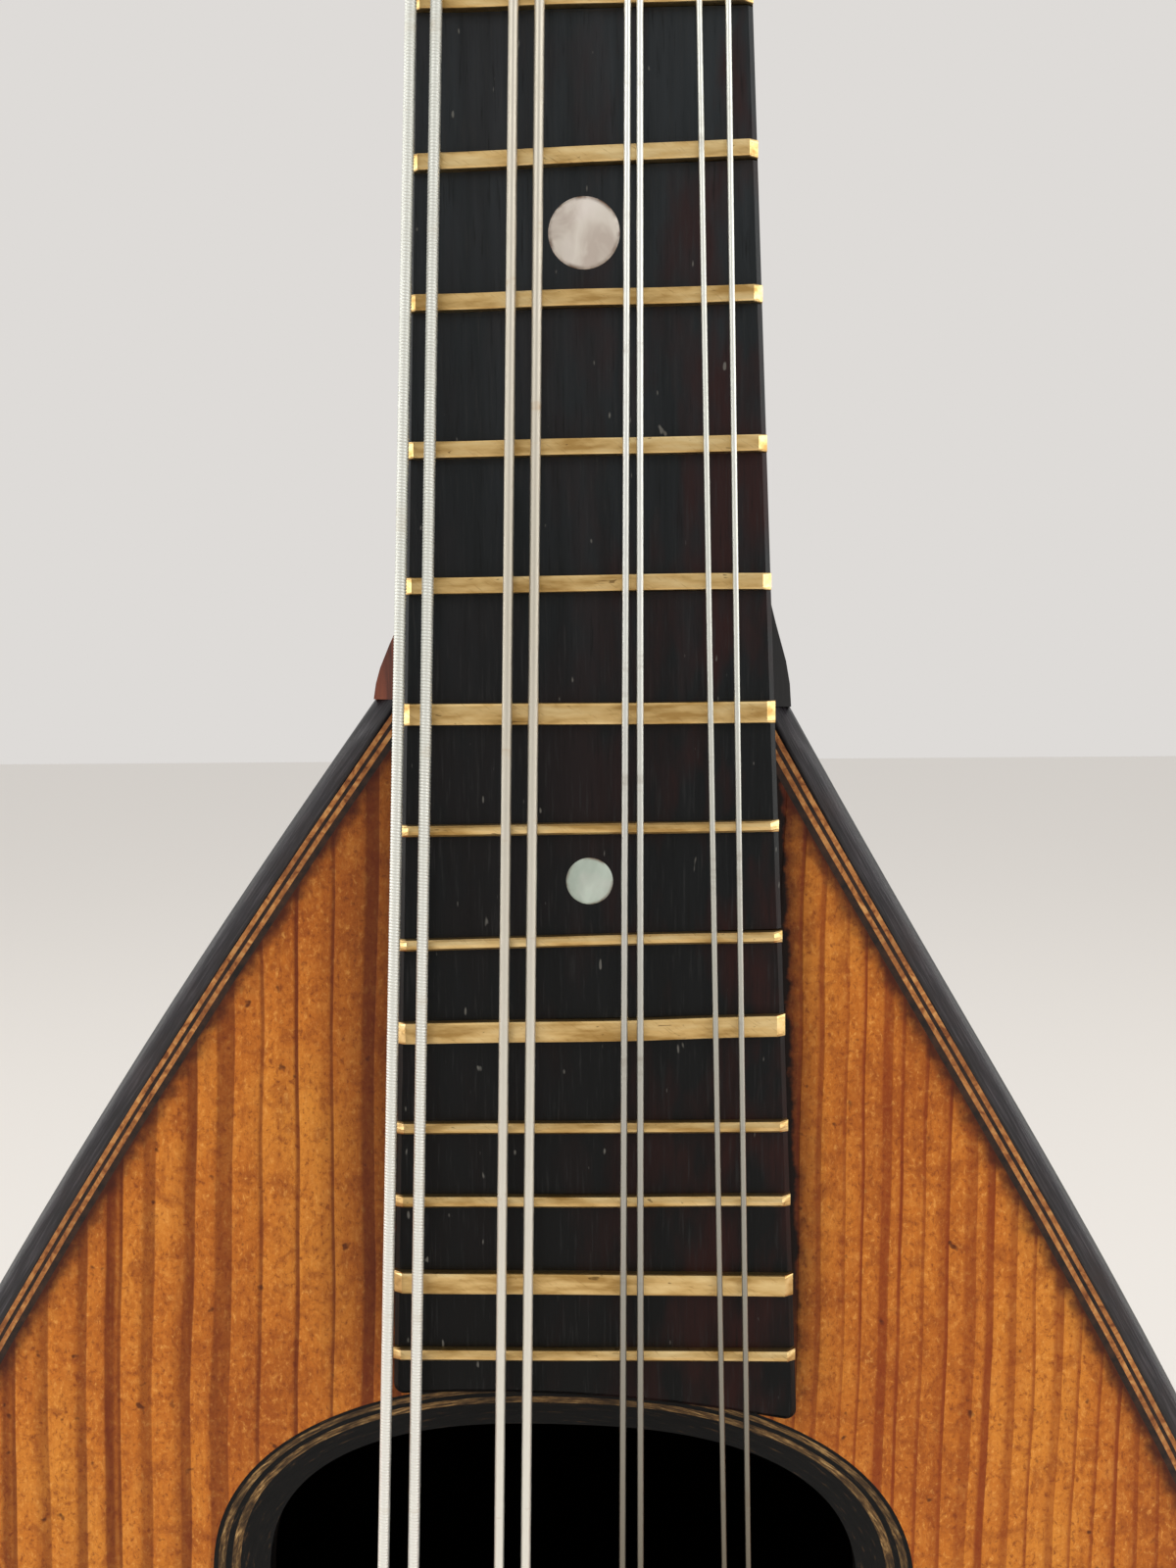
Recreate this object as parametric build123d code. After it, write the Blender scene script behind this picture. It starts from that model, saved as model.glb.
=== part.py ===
from build123d import *
import math
import os

# Neapolitan (bowl-back) mandolin, millimetres.
# +Z runs up the neck to the head, the soundboard faces -Y, the treble strings are on +X.
# The origin is where a hanger's yoke carries the head: on the neck's centre line,
# under the head's shoulders, in the middle of the head's thickness.
# Along the strings, v is the distance down from the nut, u goes to the right of the neck's
# centre line, and w is the height in front of the fretboard's top face.

# Strings and their spacing, bass to treble: name, diameter, u at the nut, u at the saddle.
SCALE_LENGTH = 330.0
SADDLE_SETBACK = 1.5
STRINGS = (
    ("g1", 0.95, -11.8, -22.8),
    ("g2", 0.95, -10.0, -19.7),
    ("d1", 0.80, -4.1, -11.0),
    ("d2", 0.80, -1.95, -8.4),
    ("a1", 0.50, 4.75, 1.6),
    ("a2", 0.50, 5.55, 3.5),
    ("e1", 0.40, 9.1, 13.2),
    ("e2", 0.40, 11.6, 15.0),
)
NUT_STRING_HEIGHT = 1.55
SADDLE_STRING_HEIGHT = 5.0
STRING_SLOT_CLEARANCE = 0.03
WRAP_TURNS = 3
WRAP_WALL = 1.15
WRAP_CLEARANCE = 0.3

# Fretboard, frets and dots.
FRET_COUNT = 17
BODY_FRET = 10
BOARD_WIDTH_NUT = 25.1
BOARD_WIDTH_LAST_FRET = 37.6
BOARD_THICKNESS = 4.5
BOARD_TAIL = 3.1
BOARD_END_ARC = 160.0
BOARD_END_SHIFT = -10.3
BOARD_END_SPARE = 3.5
BOARD_CORNER = 1.0
BOARD_BEVEL = 0.45
FRET_HEIGHT = 1.0
FRET_SEAT = 0.8
FRET_BEVEL = 0.25
NARROW_FRET = 1.1
MEDIUM_FRET = 1.5
WIDE_FRET = 2.0
WIDE_FRETS = (10, 13, 16)
MEDIUM_FRETS = (1, 2, 3, 4, 5, 6, 7, 8, 9)
DOTS = ((5, 6.2, -0.3), (7, 6.4, -0.3), (12, 4.3, 0.95))
DOT_THICKNESS = 1.2

# The frets were set by eye: how far down each one lies from its true place, and how many
# degrees its treble end is turned up.
FRET_STRAYS = {6: (-0.3, 1.1), 7: (-1.0, 0.8), 8: (-0.3, 0.5), 9: (0.2, 0.1), 10: (0.9, 0.0),
               11: (1.0, 0.5), 12: (1.5, 1.4), 13: (0.5, 1.0), 14: (0.9, 0.3), 15: (-0.4, 0.2),
               16: (-0.4, -0.3), 17: (-0.9, -0.1)}

# Nut.
NUT_LENGTH = 4.5
NUT_HEIGHT = 1.9
NUT_ROUNDING = 1.0

# Neck and heel.
NECK_DEPTH = 15.5
NECK_DEPTH_GROWTH = 2.0
NECK_STATIONS = 10
NECK_TENON = 3.0
HEEL_DEPTH = 32.0
HEEL_LENGTH = 40.0
HEEL_DEPTH_POWER = 2
SHOULDER_RUN = 12.0
SHOULDER_STATIONS = 4

# Head, in its own frame: x to the right, y to the back from the veneer's face, z up the head.
HEAD_ANGLE = 8.0
HEAD_SETBACK = 3.0
HEAD_THICKNESS = 14.0
VENEER_THICKNESS = 2.0
VENEER_START = 0.35
SHOULDER_RISE = 4.0
HEAD_SHOULDER_HALF = 26.0
HEAD_TOP_HALF = 28.0
HEAD_SHOULDER_Z = 18.0
HEAD_SIDE_TOP_Z = 124.0
HEAD_CREST_HALF = 12.0
HEAD_CREST_Z = 132.0
HEAD_LENGTH = 146.0
HEAD_CORNER = 6.0
HEAD_CHEEK_Z = 0.5
HEAD_CREST_TAPER = 0.8

# Tuners, in the head's frame.
POST_X = 15.5
FIRST_POST_Z = 36.0
POST_SPACING = 23.5
POST_RADIUS = 3.0
POST_RISE = 15.0
POST_WAIST_RADIUS = 2.5
POST_WAIST_HEIGHTS = (3.4, 10.6)
POST_HOLE_RADIUS = 0.9
POST_TIP_ROUNDING = 1.0
WRAP_HEIGHTS = (5.2, 8.6, 5.2, 8.6)
BEARING_CLEARANCE = 0.06
WOOD_HOLE_CLEARANCE = 0.3
BUSH_WALL = 0.9
BUSH_LENGTH = 5.0
BUSH_FLANGE = 0.8
BUSH_FLANGE_WIDTH = 0.7
PLATE_THICKNESS = 1.2
PLATE_WIDTH = 17.0
PLATE_END = 18.0
PLATE_CORNER = 4.0
PLATE_SCREW_SHARE = 0.41
WHEEL_TEETH = 14
WHEEL_PITCH_RADIUS = 4.9
WHEEL_TIP = 0.7
WHEEL_ROOT = 0.9
WHEEL_THICKNESS = 3.0
WHEEL_TOOTH_ROOT_WIDTH = 1.0
WHEEL_TOOTH_TIP_WIDTH = 0.55
WHEEL_TOOTH_SINK = 0.3
WHEEL_SPIGOT_RADIUS = 1.7
WHEEL_SCREW_RADIUS = 0.9
WHEEL_SCREW_LENGTH = 4.0
WHEEL_SCREW_HEAD_RADIUS = 2.3
WHEEL_SCREW_HEAD = 1.2
WORM_TIP_RADIUS = 2.6
WORM_CORE_RADIUS = 1.5
WORM_TURNS = 4
WORM_ROOT_WIDTH = 0.9
WORM_TIP_WIDTH = 0.5
WORM_MESH_DEPTH = 0.9
WORM_PLATE_GAP = 0.3
WORM_ROOT_SINK = 0.15
SHAFT_RADIUS = 1.3
SHAFT_END = 0.6
LUG_THICKNESS = 1.4
LUG_WIDTH = 4.6
LUG_WALL = 1.2
LUG_SINK = 0.5
LUG_ROUNDING_SHARE = 0.3
LUG_END_PLAY = 0.3
BUTTON_GAP = 2.0
BUTTON_LENGTH = 14.0
BUTTON_WIDTH = 15.0
BUTTON_THICKNESS = 6.5
BUTTON_COLLAR_RADIUS = 3.0
BUTTON_COLLAR_LENGTH = 3.0
BUTTON_SEAT = 5.0
BUTTON_COLLAR_SINK = 1.0
BUTTON_EDGE_SHARE = 0.45

# Body, in its own frame: x to the right of its centre line, y to the back from the
# soundboard's face, and t down from the end that meets the neck. The outline leaves the neck
# in a slight hollow, and its top end drifts to the treble side.
BODY_SKEW = 1.5
BODY_OFFSET = -1.66
BODY_LENGTH = 305.0
WIDEST_AT = 190.0
BODY_HALF_WIDTH = 97.0
SHOULDER_HALF_WIDTH = 19.6
SHOULDER_HOLLOW = 17.6
TOP_DRIFT = 0.92
TOP_DRIFT_RUN = 35.0
OUTLINE_RUN_ON = 7.5
UPPER_STEPS = 9
TAIL_STEPS = 6
SLOPE_STEP = 0.1
BOWL_DEPTH = 140.0
BOWL_DEPTH_POWER = 1.9
BOWL_STATIONS = (-6, 0, 22, 55, 95, 145)
BOWL_TAIL_ANGLES = (0, 22, 42, 58, 71, 80, 86)
FOLD_AT = 196.0
FOLD_ANGLE = 7.0
SOUNDBOARD_THICKNESS = 2.5
RIB_COUNT = 19
RIB_THICKNESS = 1.8
RIB_TAIL_GAP = 3.0
GLUE_LINE = 0.1
BINDING_WIDTH = 2.25
PURFLING_DEPTH = 1.4
PURFLING = (("light", 0.45), ("dark", 0.35), ("light", 0.45), ("dark", 0.6))
LINING_WIDTH = 6.0
LINING_DEPTH = 7.0
NECK_BLOCK_LENGTH = 26.0
TAIL_BLOCK_LENGTH = 24.0
TAIL_BLOCK_DEPTH = 60.0
BRACE_WIDTH = 7.0
BRACE_DEPTH = 11.0
BRACE_GAP = 6.5
CLASP_THICKNESS = 1.2
CLASP_DEPTH = 30.0
CLASP_LENGTH = 80.0

# Sound hole and rosette. HOLE_AT is how far the oval's centre lies down from the neck joint,
# HOLE_OFFSET how far it is off the body's centre line. The rings are thinner above and below
# the hole than beside it.
HOLE_AT = 85.8
HOLE_OFFSET = 0.45
ROSETTE_HALF_WIDTH = 34.2
ROSETTE_HALF_HEIGHT = 20.0
ROSETTE = (("dark", 0.45), ("light", 0.75), ("dark", 0.6), ("light", 0.85), ("dark", 2.95))
ROSETTE_DEPTH = 1.2
ROSETTE_UPRIGHT_SHARE = 0.72
OVAL_POWER_OUTER = 2.25
OVAL_POWER_HOLE = 2.5
OVAL_POINTS = 28

# Pickguard, bridge and tailpiece.
PICKGUARD_HALF_WIDTH = 37.0
PICKGUARD_HALF_HEIGHT = 40.0
PICKGUARD_DROP = 22.0
PICKGUARD_TOP = 13.0
PICKGUARD_THICKNESS = 1.0
BRIDGE_LENGTH = 112.0
BRIDGE_FOOT = 9.0
BRIDGE_CREST = 5.0
BRIDGE_END_HEIGHT = 3.2
BRIDGE_CREST_LENGTH = 62.0
BRIDGE_SHOULDER = 8.0
BRIDGE_ARCH_LENGTH = 30.0
BRIDGE_ARCH_HEIGHT = 3.0
BRIDGE_ARCH_PAST_CREST = 6.0
SADDLE_LENGTH = 54.0
SADDLE_THICKNESS = 2.6
SADDLE_SEAT = 2.2
SADDLE_RISE = 1.9
SADDLE_ROUNDING = 0.8
TAIL_PLATE_WIDTH = 38.0
TAIL_PLATE_LENGTH = 26.0
TAIL_PLATE_DEPTH = 27.0
TAIL_PLATE_THICKNESS = 1.0
HOOK_RADIUS = 0.9
HOOK_HEIGHT = 4.0
HOOK_HEAD_RADIUS = 1.5
HOOK_HEAD = 0.8
HOOK_SPACING = 4.3
HOOK_FROM_EDGE = 13.0
LOOP_LIFT = 1.3
LOOP_CLEARANCE = 0.1
TAIL_SCREWS = ((-13.0, 5.0), (13.0, 5.0))
SCREW_RADIUS = 1.1
SCREW_LENGTH = 9.0
SCREW_HEAD_RADIUS = 2.2
SCREW_HEAD = 1.1
SCREW_HEAD_SEAT = 0.15
SCREW_SLOT = 0.7
SCREW_SLOT_DEPTH = 0.3

# Places that follow from the sizes above.
NUT_Z = -(NUT_LENGTH + SHOULDER_RISE)
HEAD_Y = -(VENEER_THICKNESS + HEAD_THICKNESS / 2)
BOARD_Y = HEAD_Y - HEAD_SETBACK
SOUNDBOARD_Y = BOARD_Y + BOARD_THICKNESS
JOINT_V = SCALE_LENGTH * (1 - 2 ** (-BODY_FRET / 12))
SADDLE_V = SCALE_LENGTH + SADDLE_SETBACK
HEAD = Location((0, HEAD_Y, -SHOULDER_RISE), (-HEAD_ANGLE, 0, 0))
BODY = Location((BODY_OFFSET, SOUNDBOARD_Y, NUT_Z - JOINT_V), (0, BODY_SKEW, 0))
WOOD_BACK = VENEER_THICKNESS + HEAD_THICKNESS
PLATE_BACK = WOOD_BACK + PLATE_THICKNESS
WORM_Y = PLATE_BACK + WORM_PLATE_GAP + WORM_TIP_RADIUS
WHEEL_FRONT = WORM_Y - WHEEL_THICKNESS / 2
WORM_DROP = WHEEL_PITCH_RADIUS + WHEEL_TIP + WORM_TIP_RADIUS - WORM_MESH_DEPTH
WORM_PITCH = 2 * math.pi * WHEEL_PITCH_RADIUS / WHEEL_TEETH
WORM_LENGTH = WORM_PITCH * WORM_TURNS + 2 * WORM_ROOT_WIDTH
BUTTON_X = HEAD_TOP_HALF + BUTTON_GAP
ROSETTE_WIDTH = sum(width for _, width in ROSETTE)
PURFLING_WIDTH = sum(width for _, width in PURFLING)
FROM_BOTTOM = (Align.CENTER, Align.CENTER, Align.MIN)

# How far a cutter runs past what it cuts: past a face, past a fitting and past the body.
PAST = 1.0
THROUGH = 40.0
BEYOND = 200.0


def spot(u, v, w):
    """Point given along the neck's own directions."""
    return Vector(u, BOARD_Y - w, NUT_Z - v)


def fret_v(number):
    return SCALE_LENGTH * (1 - 2 ** (-number / 12))


def board_half(v):
    growth = (BOARD_WIDTH_LAST_FRET - BOARD_WIDTH_NUT) / fret_v(FRET_COUNT)
    return (BOARD_WIDTH_NUT + growth * v) / 2


def fret_width(number):
    if number in WIDE_FRETS:
        return WIDE_FRET
    return MEDIUM_FRET if number in MEDIUM_FRETS else NARROW_FRET


def slab_box(low, high):
    """Axis-aligned box between two corners."""
    low, high = Vector(*low), Vector(*high)
    size = high - low
    return Pos(*(low + size * 0.5)) * Box(size.X, size.Y, size.Z)


def rod(start, end, radius):
    """Round bar from one point to another."""
    start, end = Vector(*start), Vector(*end)
    plane = Plane(origin=start, z_dir=end - start)
    return plane * Cylinder(radius, (end - start).length, align=FROM_BOTTOM)


def along_y(x, z, y_start, y_end, radius):
    """Round bar along the y direction of a frame."""
    return rod((x, y_start, z), (x, y_end, z), radius)


def save(name, shape):
    """Write one node; a list of shapes becomes a group of separate solids."""
    shapes = shape if isinstance(shape, list) else [shape]
    solids = [solid for piece in shapes for solid in piece.solids()]
    export_step(solids[0] if len(solids) == 1 else Compound(solids), f"parts/{name}.step")


# Body shape.

def half_width(t, grow=0.0):
    """Half-width of the body's outline above its widest place."""
    run = max(0.0, 1 - t / WIDEST_AT) ** 2
    span = BODY_HALF_WIDTH - SHOULDER_HALF_WIDTH + SHOULDER_HOLLOW * (1 - run)
    return BODY_HALF_WIDTH + grow - span * run


def drift(t):
    """How far the middle of the outline lies off the body's centre line."""
    return TOP_DRIFT * max(0.0, 1 - t / TOP_DRIFT_RUN) ** 2


def half_depth(t, grow=0.0):
    """Depth of the bowl behind the rim above its widest place."""
    run = max(0.0, 1 - t / WIDEST_AT)
    start = HEEL_DEPTH - SOUNDBOARD_THICKNESS
    return BOWL_DEPTH + grow - (BOWL_DEPTH - start) * run ** BOWL_DEPTH_POWER


def rim_drop(t):
    """How far the soundboard's face falls back behind the fold."""
    return max(0.0, t - FOLD_AT) * math.tan(math.radians(FOLD_ANGLE))


def body_outline(inset, y):
    """Outline of the soundboard moved inwards, open over the neck joint."""
    side = []
    for step in range(UPPER_STEPS):
        t = (WIDEST_AT + OUTLINE_RUN_ON) * step / UPPER_STEPS - OUTLINE_RUN_ON
        slope = (half_width(t + SLOPE_STEP) - half_width(t - SLOPE_STEP)) / (2 * SLOPE_STEP)
        length = math.hypot(1, slope)
        side.append((half_width(t) - inset / length, t + inset * slope / length))
    long_radius = BODY_LENGTH - WIDEST_AT
    for step in range(TAIL_STEPS + 1):
        angle = math.pi / 2 * step / TAIL_STEPS
        nx, nt = math.cos(angle) / BODY_HALF_WIDTH, math.sin(angle) / long_radius
        length = math.hypot(nx, nt)
        side.append((BODY_HALF_WIDTH * math.cos(angle) - inset * nx / length,
                     WIDEST_AT + long_radius * math.sin(angle) - inset * nt / length))
    right = [Vector(drift(t) + x, y, -t) for x, t in side]
    left = [Vector(drift(t) - x, y, -t) for x, t in reversed(side[:-1])]
    curve = Spline(right + left)
    return Face(Wire([curve, Line(left[-1], right[0])]))


def body_prism(inset):
    """Everything inside the moved outline, from well in front of the face to behind the rim."""
    return extrude(body_outline(inset, -THROUGH), amount=2 * THROUGH, dir=(0, 1, 0))


def bent_slab(front, back):
    """Layer between two depths that follows the folded soundboard."""
    end = BODY_LENGTH + THROUGH
    drop = rim_drop(end)
    corners = [(front, 0), (front, -FOLD_AT), (front + drop, -end),
               (back + drop, -end), (back, -FOLD_AT), (back, 0)]
    profile = Face(Wire.make_polygon([Vector(-BEYOND, y, z) for y, z in corners]))
    return extrude(profile, amount=2 * BEYOND, dir=(1, 0, 0))


def bowl_solid(grow):
    """Oval body whose back half, behind the rim, is the bowl, grown by a wall's thickness."""
    sections = []
    for t in BOWL_STATIONS:
        sections.append((t, half_width(t, grow), half_depth(t, grow)))
    long_radius = BODY_LENGTH - WIDEST_AT + grow
    for angle in BOWL_TAIL_ANGLES:
        cosine, sine = math.cos(math.radians(angle)), math.sin(math.radians(angle))
        sections.append((WIDEST_AT + long_radius * sine,
                         (BODY_HALF_WIDTH + grow) * cosine, (BOWL_DEPTH + grow) * cosine))
    faces = []
    for t, width, depth in sections:
        centre = (drift(t), SOUNDBOARD_THICKNESS + rim_drop(min(t, BODY_LENGTH)), -t)
        plane = Plane(origin=centre, x_dir=(1, 0, 0), z_dir=(0, 0, 1))
        faces.append(plane * Ellipse(width, depth))
    return loft(faces)


def oval_prism(inset, y_start, y_end):
    """Oval plug round the sound hole, from the rosette's outer edge inwards."""
    share = inset / ROSETTE_WIDTH
    power = OVAL_POWER_OUTER + (OVAL_POWER_HOLE - OVAL_POWER_OUTER) * share
    a = ROSETTE_HALF_WIDTH - inset
    b = ROSETTE_HALF_HEIGHT - inset * ROSETTE_UPRIGHT_SHARE
    points = []
    for step in range(OVAL_POINTS):
        angle = 2 * math.pi * step / OVAL_POINTS
        c, s = math.cos(angle), math.sin(angle)
        x = HOLE_OFFSET + a * math.copysign(abs(c) ** (2 / power), c)
        z = b * math.copysign(abs(s) ** (2 / power), s)
        points.append(Vector(x, y_start, z - HOLE_AT))
    face = Face(Wire([Spline(points, periodic=True)]))
    return extrude(face, amount=y_end - y_start, dir=(0, 1, 0))


# Soundboard and its edges.

def side_ring(outer, inner, front, back):
    """Strip that follows the body's edge between two insets, open over the neck joint."""
    return (body_prism(outer) - body_prism(inner)) & bent_slab(front, back)


def purfling_strips():
    """Inlaid strips beside the binding, by colour."""
    strips = {"light": [], "dark": []}
    inset = BINDING_WIDTH
    for colour, width in PURFLING:
        strips[colour].append(side_ring(inset, inset + width, 0, PURFLING_DEPTH))
        inset += width
    return strips


def rosette_rings():
    """Inlaid rings round the sound hole, by colour."""
    rings = {"light": [], "dark": []}
    inset = 0.0
    for colour, width in ROSETTE:
        plug = oval_prism(inset + width, -PAST, ROSETTE_DEPTH + PAST)
        rings[colour].append(oval_prism(inset, 0, ROSETTE_DEPTH) - plug)
        inset += width
    return rings


def pickguard():
    """Thin plate let into the soundboard below the sound hole."""
    centre = -(HOLE_AT + PICKGUARD_DROP)
    plane = Plane(origin=(0, 0, centre), x_dir=(1, 0, 0), z_dir=(0, 1, 0))
    oval = Ellipse(PICKGUARD_HALF_WIDTH, PICKGUARD_HALF_HEIGHT)
    plate = plane * extrude(oval, amount=PICKGUARD_THICKNESS)
    top = -(HOLE_AT + PICKGUARD_TOP)
    above = slab_box((-BEYOND, -THROUGH, top), (BEYOND, THROUGH, 0))
    return plate - above - oval_prism(0, -THROUGH, THROUGH)


def soundboard(guard):
    board = body_prism(BINDING_WIDTH) & bent_slab(0, SOUNDBOARD_THICKNESS)
    board -= side_ring(BINDING_WIDTH, BINDING_WIDTH + PURFLING_WIDTH, -PAST, PURFLING_DEPTH)
    board -= oval_prism(ROSETTE_WIDTH, -PAST, SOUNDBOARD_THICKNESS + PAST)
    board -= oval_prism(0, -PAST, ROSETTE_DEPTH)
    return board - guard


# Bowl and what stiffens it inside.

def rib_wedge(index):
    """Sector between two seams, seen along the body."""
    reach = BOWL_DEPTH * 2
    rays = []
    for seam in (index, index + 1):
        angle = math.pi * seam / RIB_COUNT
        rays.append((BODY_HALF_WIDTH * math.cos(angle), BOWL_DEPTH * math.sin(angle)))
    tips = []
    for x, y in rays:
        length = math.hypot(x, y)
        tips.append(Vector(x / length * reach, SOUNDBOARD_THICKNESS + y / length * reach, 0))
    face = Face(Wire.make_polygon([Vector(0, SOUNDBOARD_THICKNESS, 0)] + tips))
    return extrude(face, amount=BODY_LENGTH - RIB_TAIL_GAP, dir=(0, 0, -1))


def bowl_ribs(outside, inside):
    shell = (outside - inside) & bent_slab(SOUNDBOARD_THICKNESS, BOWL_DEPTH * 2)
    half_count = RIB_COUNT // 2
    treble = [shell & rib_wedge(index) for index in range(half_count)]
    middle = [shell & rib_wedge(half_count)] if RIB_COUNT % 2 else []
    return treble + middle + [mirrored(rib) for rib in reversed(treble)]


def tail_box(length, half=BEYOND):
    """Everything within a length of the tail's end."""
    return slab_box((-half, -THROUGH, -BODY_LENGTH - THROUGH), (half, BEYOND, length - BODY_LENGTH))


def end_clasp(clasp_inside, clasp_outside):
    """Band of wood that covers the ribs' ends round the tail."""
    reach = tail_box(CLASP_LENGTH)
    return ((reach & bent_slab(SOUNDBOARD_THICKNESS, CLASP_DEPTH)) & clasp_outside) - clasp_inside


def end_blocks(inside):
    """Neck block and tail block glued inside the bowl's two ends."""
    low = (-BEYOND, SOUNDBOARD_THICKNESS, -NECK_BLOCK_LENGTH)
    neck_block = inside & slab_box(low, (BEYOND, BEYOND, 0))
    tail_block = inside & bent_slab(SOUNDBOARD_THICKNESS, TAIL_BLOCK_DEPTH)
    return [neck_block, tail_block & tail_box(TAIL_BLOCK_LENGTH)]


def linings(inside):
    """Strips along the rim that widen the glue face under the soundboard."""
    ring = inside & bent_slab(SOUNDBOARD_THICKNESS, SOUNDBOARD_THICKNESS + LINING_DEPTH)
    ring -= body_prism(RIB_THICKNESS + LINING_WIDTH)
    low = (-BEYOND, -THROUGH, TAIL_BLOCK_LENGTH - BODY_LENGTH)
    return ring & slab_box(low, (BEYOND, BEYOND, -NECK_BLOCK_LENGTH))


def braces(inside, lining):
    """Bars across the soundboard's underside, above the sound hole and on both sides of the bridge."""
    hole_top = HOLE_AT - ROSETTE_HALF_HEIGHT
    hole_bottom = HOLE_AT + ROSETTE_HALF_HEIGHT
    bars = []
    for t in (hole_top - BRACE_GAP, hole_bottom + BRACE_GAP, FOLD_AT + BRACE_GAP + BRACE_WIDTH):
        low = (-BEYOND, -THROUGH, -t - BRACE_WIDTH / 2)
        high = (BEYOND, THROUGH, -t + BRACE_WIDTH / 2)
        bar = inside & slab_box(low, high)
        bar &= bent_slab(SOUNDBOARD_THICKNESS, SOUNDBOARD_THICKNESS + BRACE_DEPTH)
        for strip in lining:
            bar -= strip
        bars.append(bar)
    return bars


# Neck, fretboard and nut.

def neck_section(u, v, half, depth):
    plane = Plane(origin=spot(u, v, -BOARD_THICKNESS), x_dir=(1, 0, 0), z_dir=(0, 0, 1))
    return plane * (Ellipse(half, depth) & Pos(0, depth) * Rectangle(4 * half, 2 * depth))


def head_block(y_start, y_end, z_start):
    """Head's outline between two depths, in the head's frame."""
    base = board_half(0)
    side = [(base, z_start), (base, HEAD_CHEEK_Z), (HEAD_SHOULDER_HALF, HEAD_SHOULDER_Z),
            (HEAD_TOP_HALF, HEAD_SIDE_TOP_Z), (HEAD_CREST_HALF, HEAD_CREST_Z),
            (HEAD_CREST_HALF * HEAD_CREST_TAPER, HEAD_LENGTH)]
    points = side + [(-x, z) for x, z in reversed(side)]
    face = Face(Wire.make_polygon([Vector(x, y_start, z) for x, z in points]))
    block = extrude(face, amount=y_end - y_start, dir=(0, 1, 0))
    upright = block.edges().filter_by(Axis.Y)
    upright = upright.filter_by(lambda edge: edge.center().Z > HEAD_SHOULDER_Z / 2)
    return fillet(upright, HEAD_CORNER)


def neck(post_places, screw_places):
    """Neck, heel and head, carved from one piece."""
    end = JOINT_V + NECK_TENON
    shoulder = JOINT_V - SHOULDER_RUN
    stations = [shoulder - (shoulder + NUT_LENGTH) * (1 - step / NECK_STATIONS)
                for step in range(NECK_STATIONS)]
    stations += [shoulder + SHOULDER_RUN * step / SHOULDER_STATIONS
                 for step in range(SHOULDER_STATIONS + 1)]
    sections = []
    for v in stations + [end]:
        run = max(0.0, 1 - (end - v) / HEEL_LENGTH)
        part = min(1.0, max(0.0, (v - shoulder) / SHOULDER_RUN))
        flare = part * part * (3 - 2 * part)
        half, depth = board_half(v), NECK_DEPTH + NECK_DEPTH_GROWTH * v / JOINT_V
        half += (SHOULDER_HALF_WIDTH - half) * flare
        depth += (HEEL_DEPTH - depth) * run ** HEEL_DEPTH_POWER
        sections.append(neck_section((BODY_OFFSET + TOP_DRIFT) * flare, v, half, depth))
    shaft = loft(sections)
    shaft -= BODY * slab_box((-BEYOND, -BEYOND, -BEYOND), (BEYOND, BEYOND, 0))
    head = HEAD * head_block(VENEER_THICKNESS, WOOD_BACK, 0)
    piece = shaft + head
    for x, z in post_places:
        piece -= HEAD * along_y(x, z, -PAST, THROUGH, POST_RADIUS + WOOD_HOLE_CLEARANCE)
        piece -= HEAD * along_y(x, z, -PAST, BUSH_LENGTH, POST_RADIUS + BUSH_WALL)
    for x, z in screw_places:
        piece -= HEAD * along_y(x, z, PLATE_BACK - SCREW_LENGTH, THROUGH, SCREW_RADIUS)
    return piece


def headstock_veneer(post_places):
    sheet = head_block(0, VENEER_THICKNESS, VENEER_START)
    for x, z in post_places:
        sheet -= along_y(x, z, -PAST, VENEER_THICKNESS + PAST, POST_RADIUS + BUSH_WALL)
    return HEAD * sheet


def fret_bar(number, grow=0.0):
    """One fret, seated in the fretboard, with its ends and top edges eased."""
    stray, turn = FRET_STRAYS.get(number, (0.0, 0.0))
    half = board_half(fret_v(number) + stray)
    thick = fret_width(number) / 2
    bar = slab_box((-half, -FRET_HEIGHT - grow, -thick), (half, FRET_SEAT, thick))
    if not grow:
        bar = chamfer(bar.faces().sort_by(Axis.Y)[0].edges(), FRET_BEVEL)
    return Location(spot(0, fret_v(number) + stray, 0), (0, -turn, 0)) * bar


def dot(number, diameter, stray):
    """Position dot between two frets, strayed down the board from their middle."""
    v = (fret_v(number - 1) + fret_v(number)) / 2 + stray
    return rod(spot(0, v, -DOT_THICKNESS), spot(0, v, 0), diameter / 2)


def fretboard():
    """Tapered board whose lower end is hollowed to follow the rosette."""
    end = fret_v(FRET_COUNT) + BOARD_TAIL + BOARD_END_SPARE
    top, low = board_half(0), board_half(end)
    outline = [spot(-top, 0, 0), spot(top, 0, 0), spot(low, end, 0), spot(-low, end, 0)]
    board = extrude(Face(Wire.make_polygon(outline)), amount=BOARD_THICKNESS, dir=(0, 1, 0))
    hollow_centre = fret_v(FRET_COUNT) + BOARD_TAIL + BOARD_END_ARC
    front = spot(BOARD_END_SHIFT, hollow_centre, PAST)
    back = spot(BOARD_END_SHIFT, hollow_centre, -BOARD_THICKNESS - PAST)
    board -= rod(back, front, BOARD_END_ARC)
    corners = board.edges().filter_by(Axis.Y).sort_by(Axis.Z)[0:2]
    board = fillet(corners, BOARD_CORNER)
    sides = [edge for edge in board.faces().sort_by(Axis.Y)[0].edges() if edge.length > end / 2]
    board = chamfer(sides, BOARD_BEVEL)
    for number in range(1, FRET_COUNT + 1):
        board -= fret_bar(number, grow=PAST)
    for place in DOTS:
        board -= dot(*place)
    return board


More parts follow.
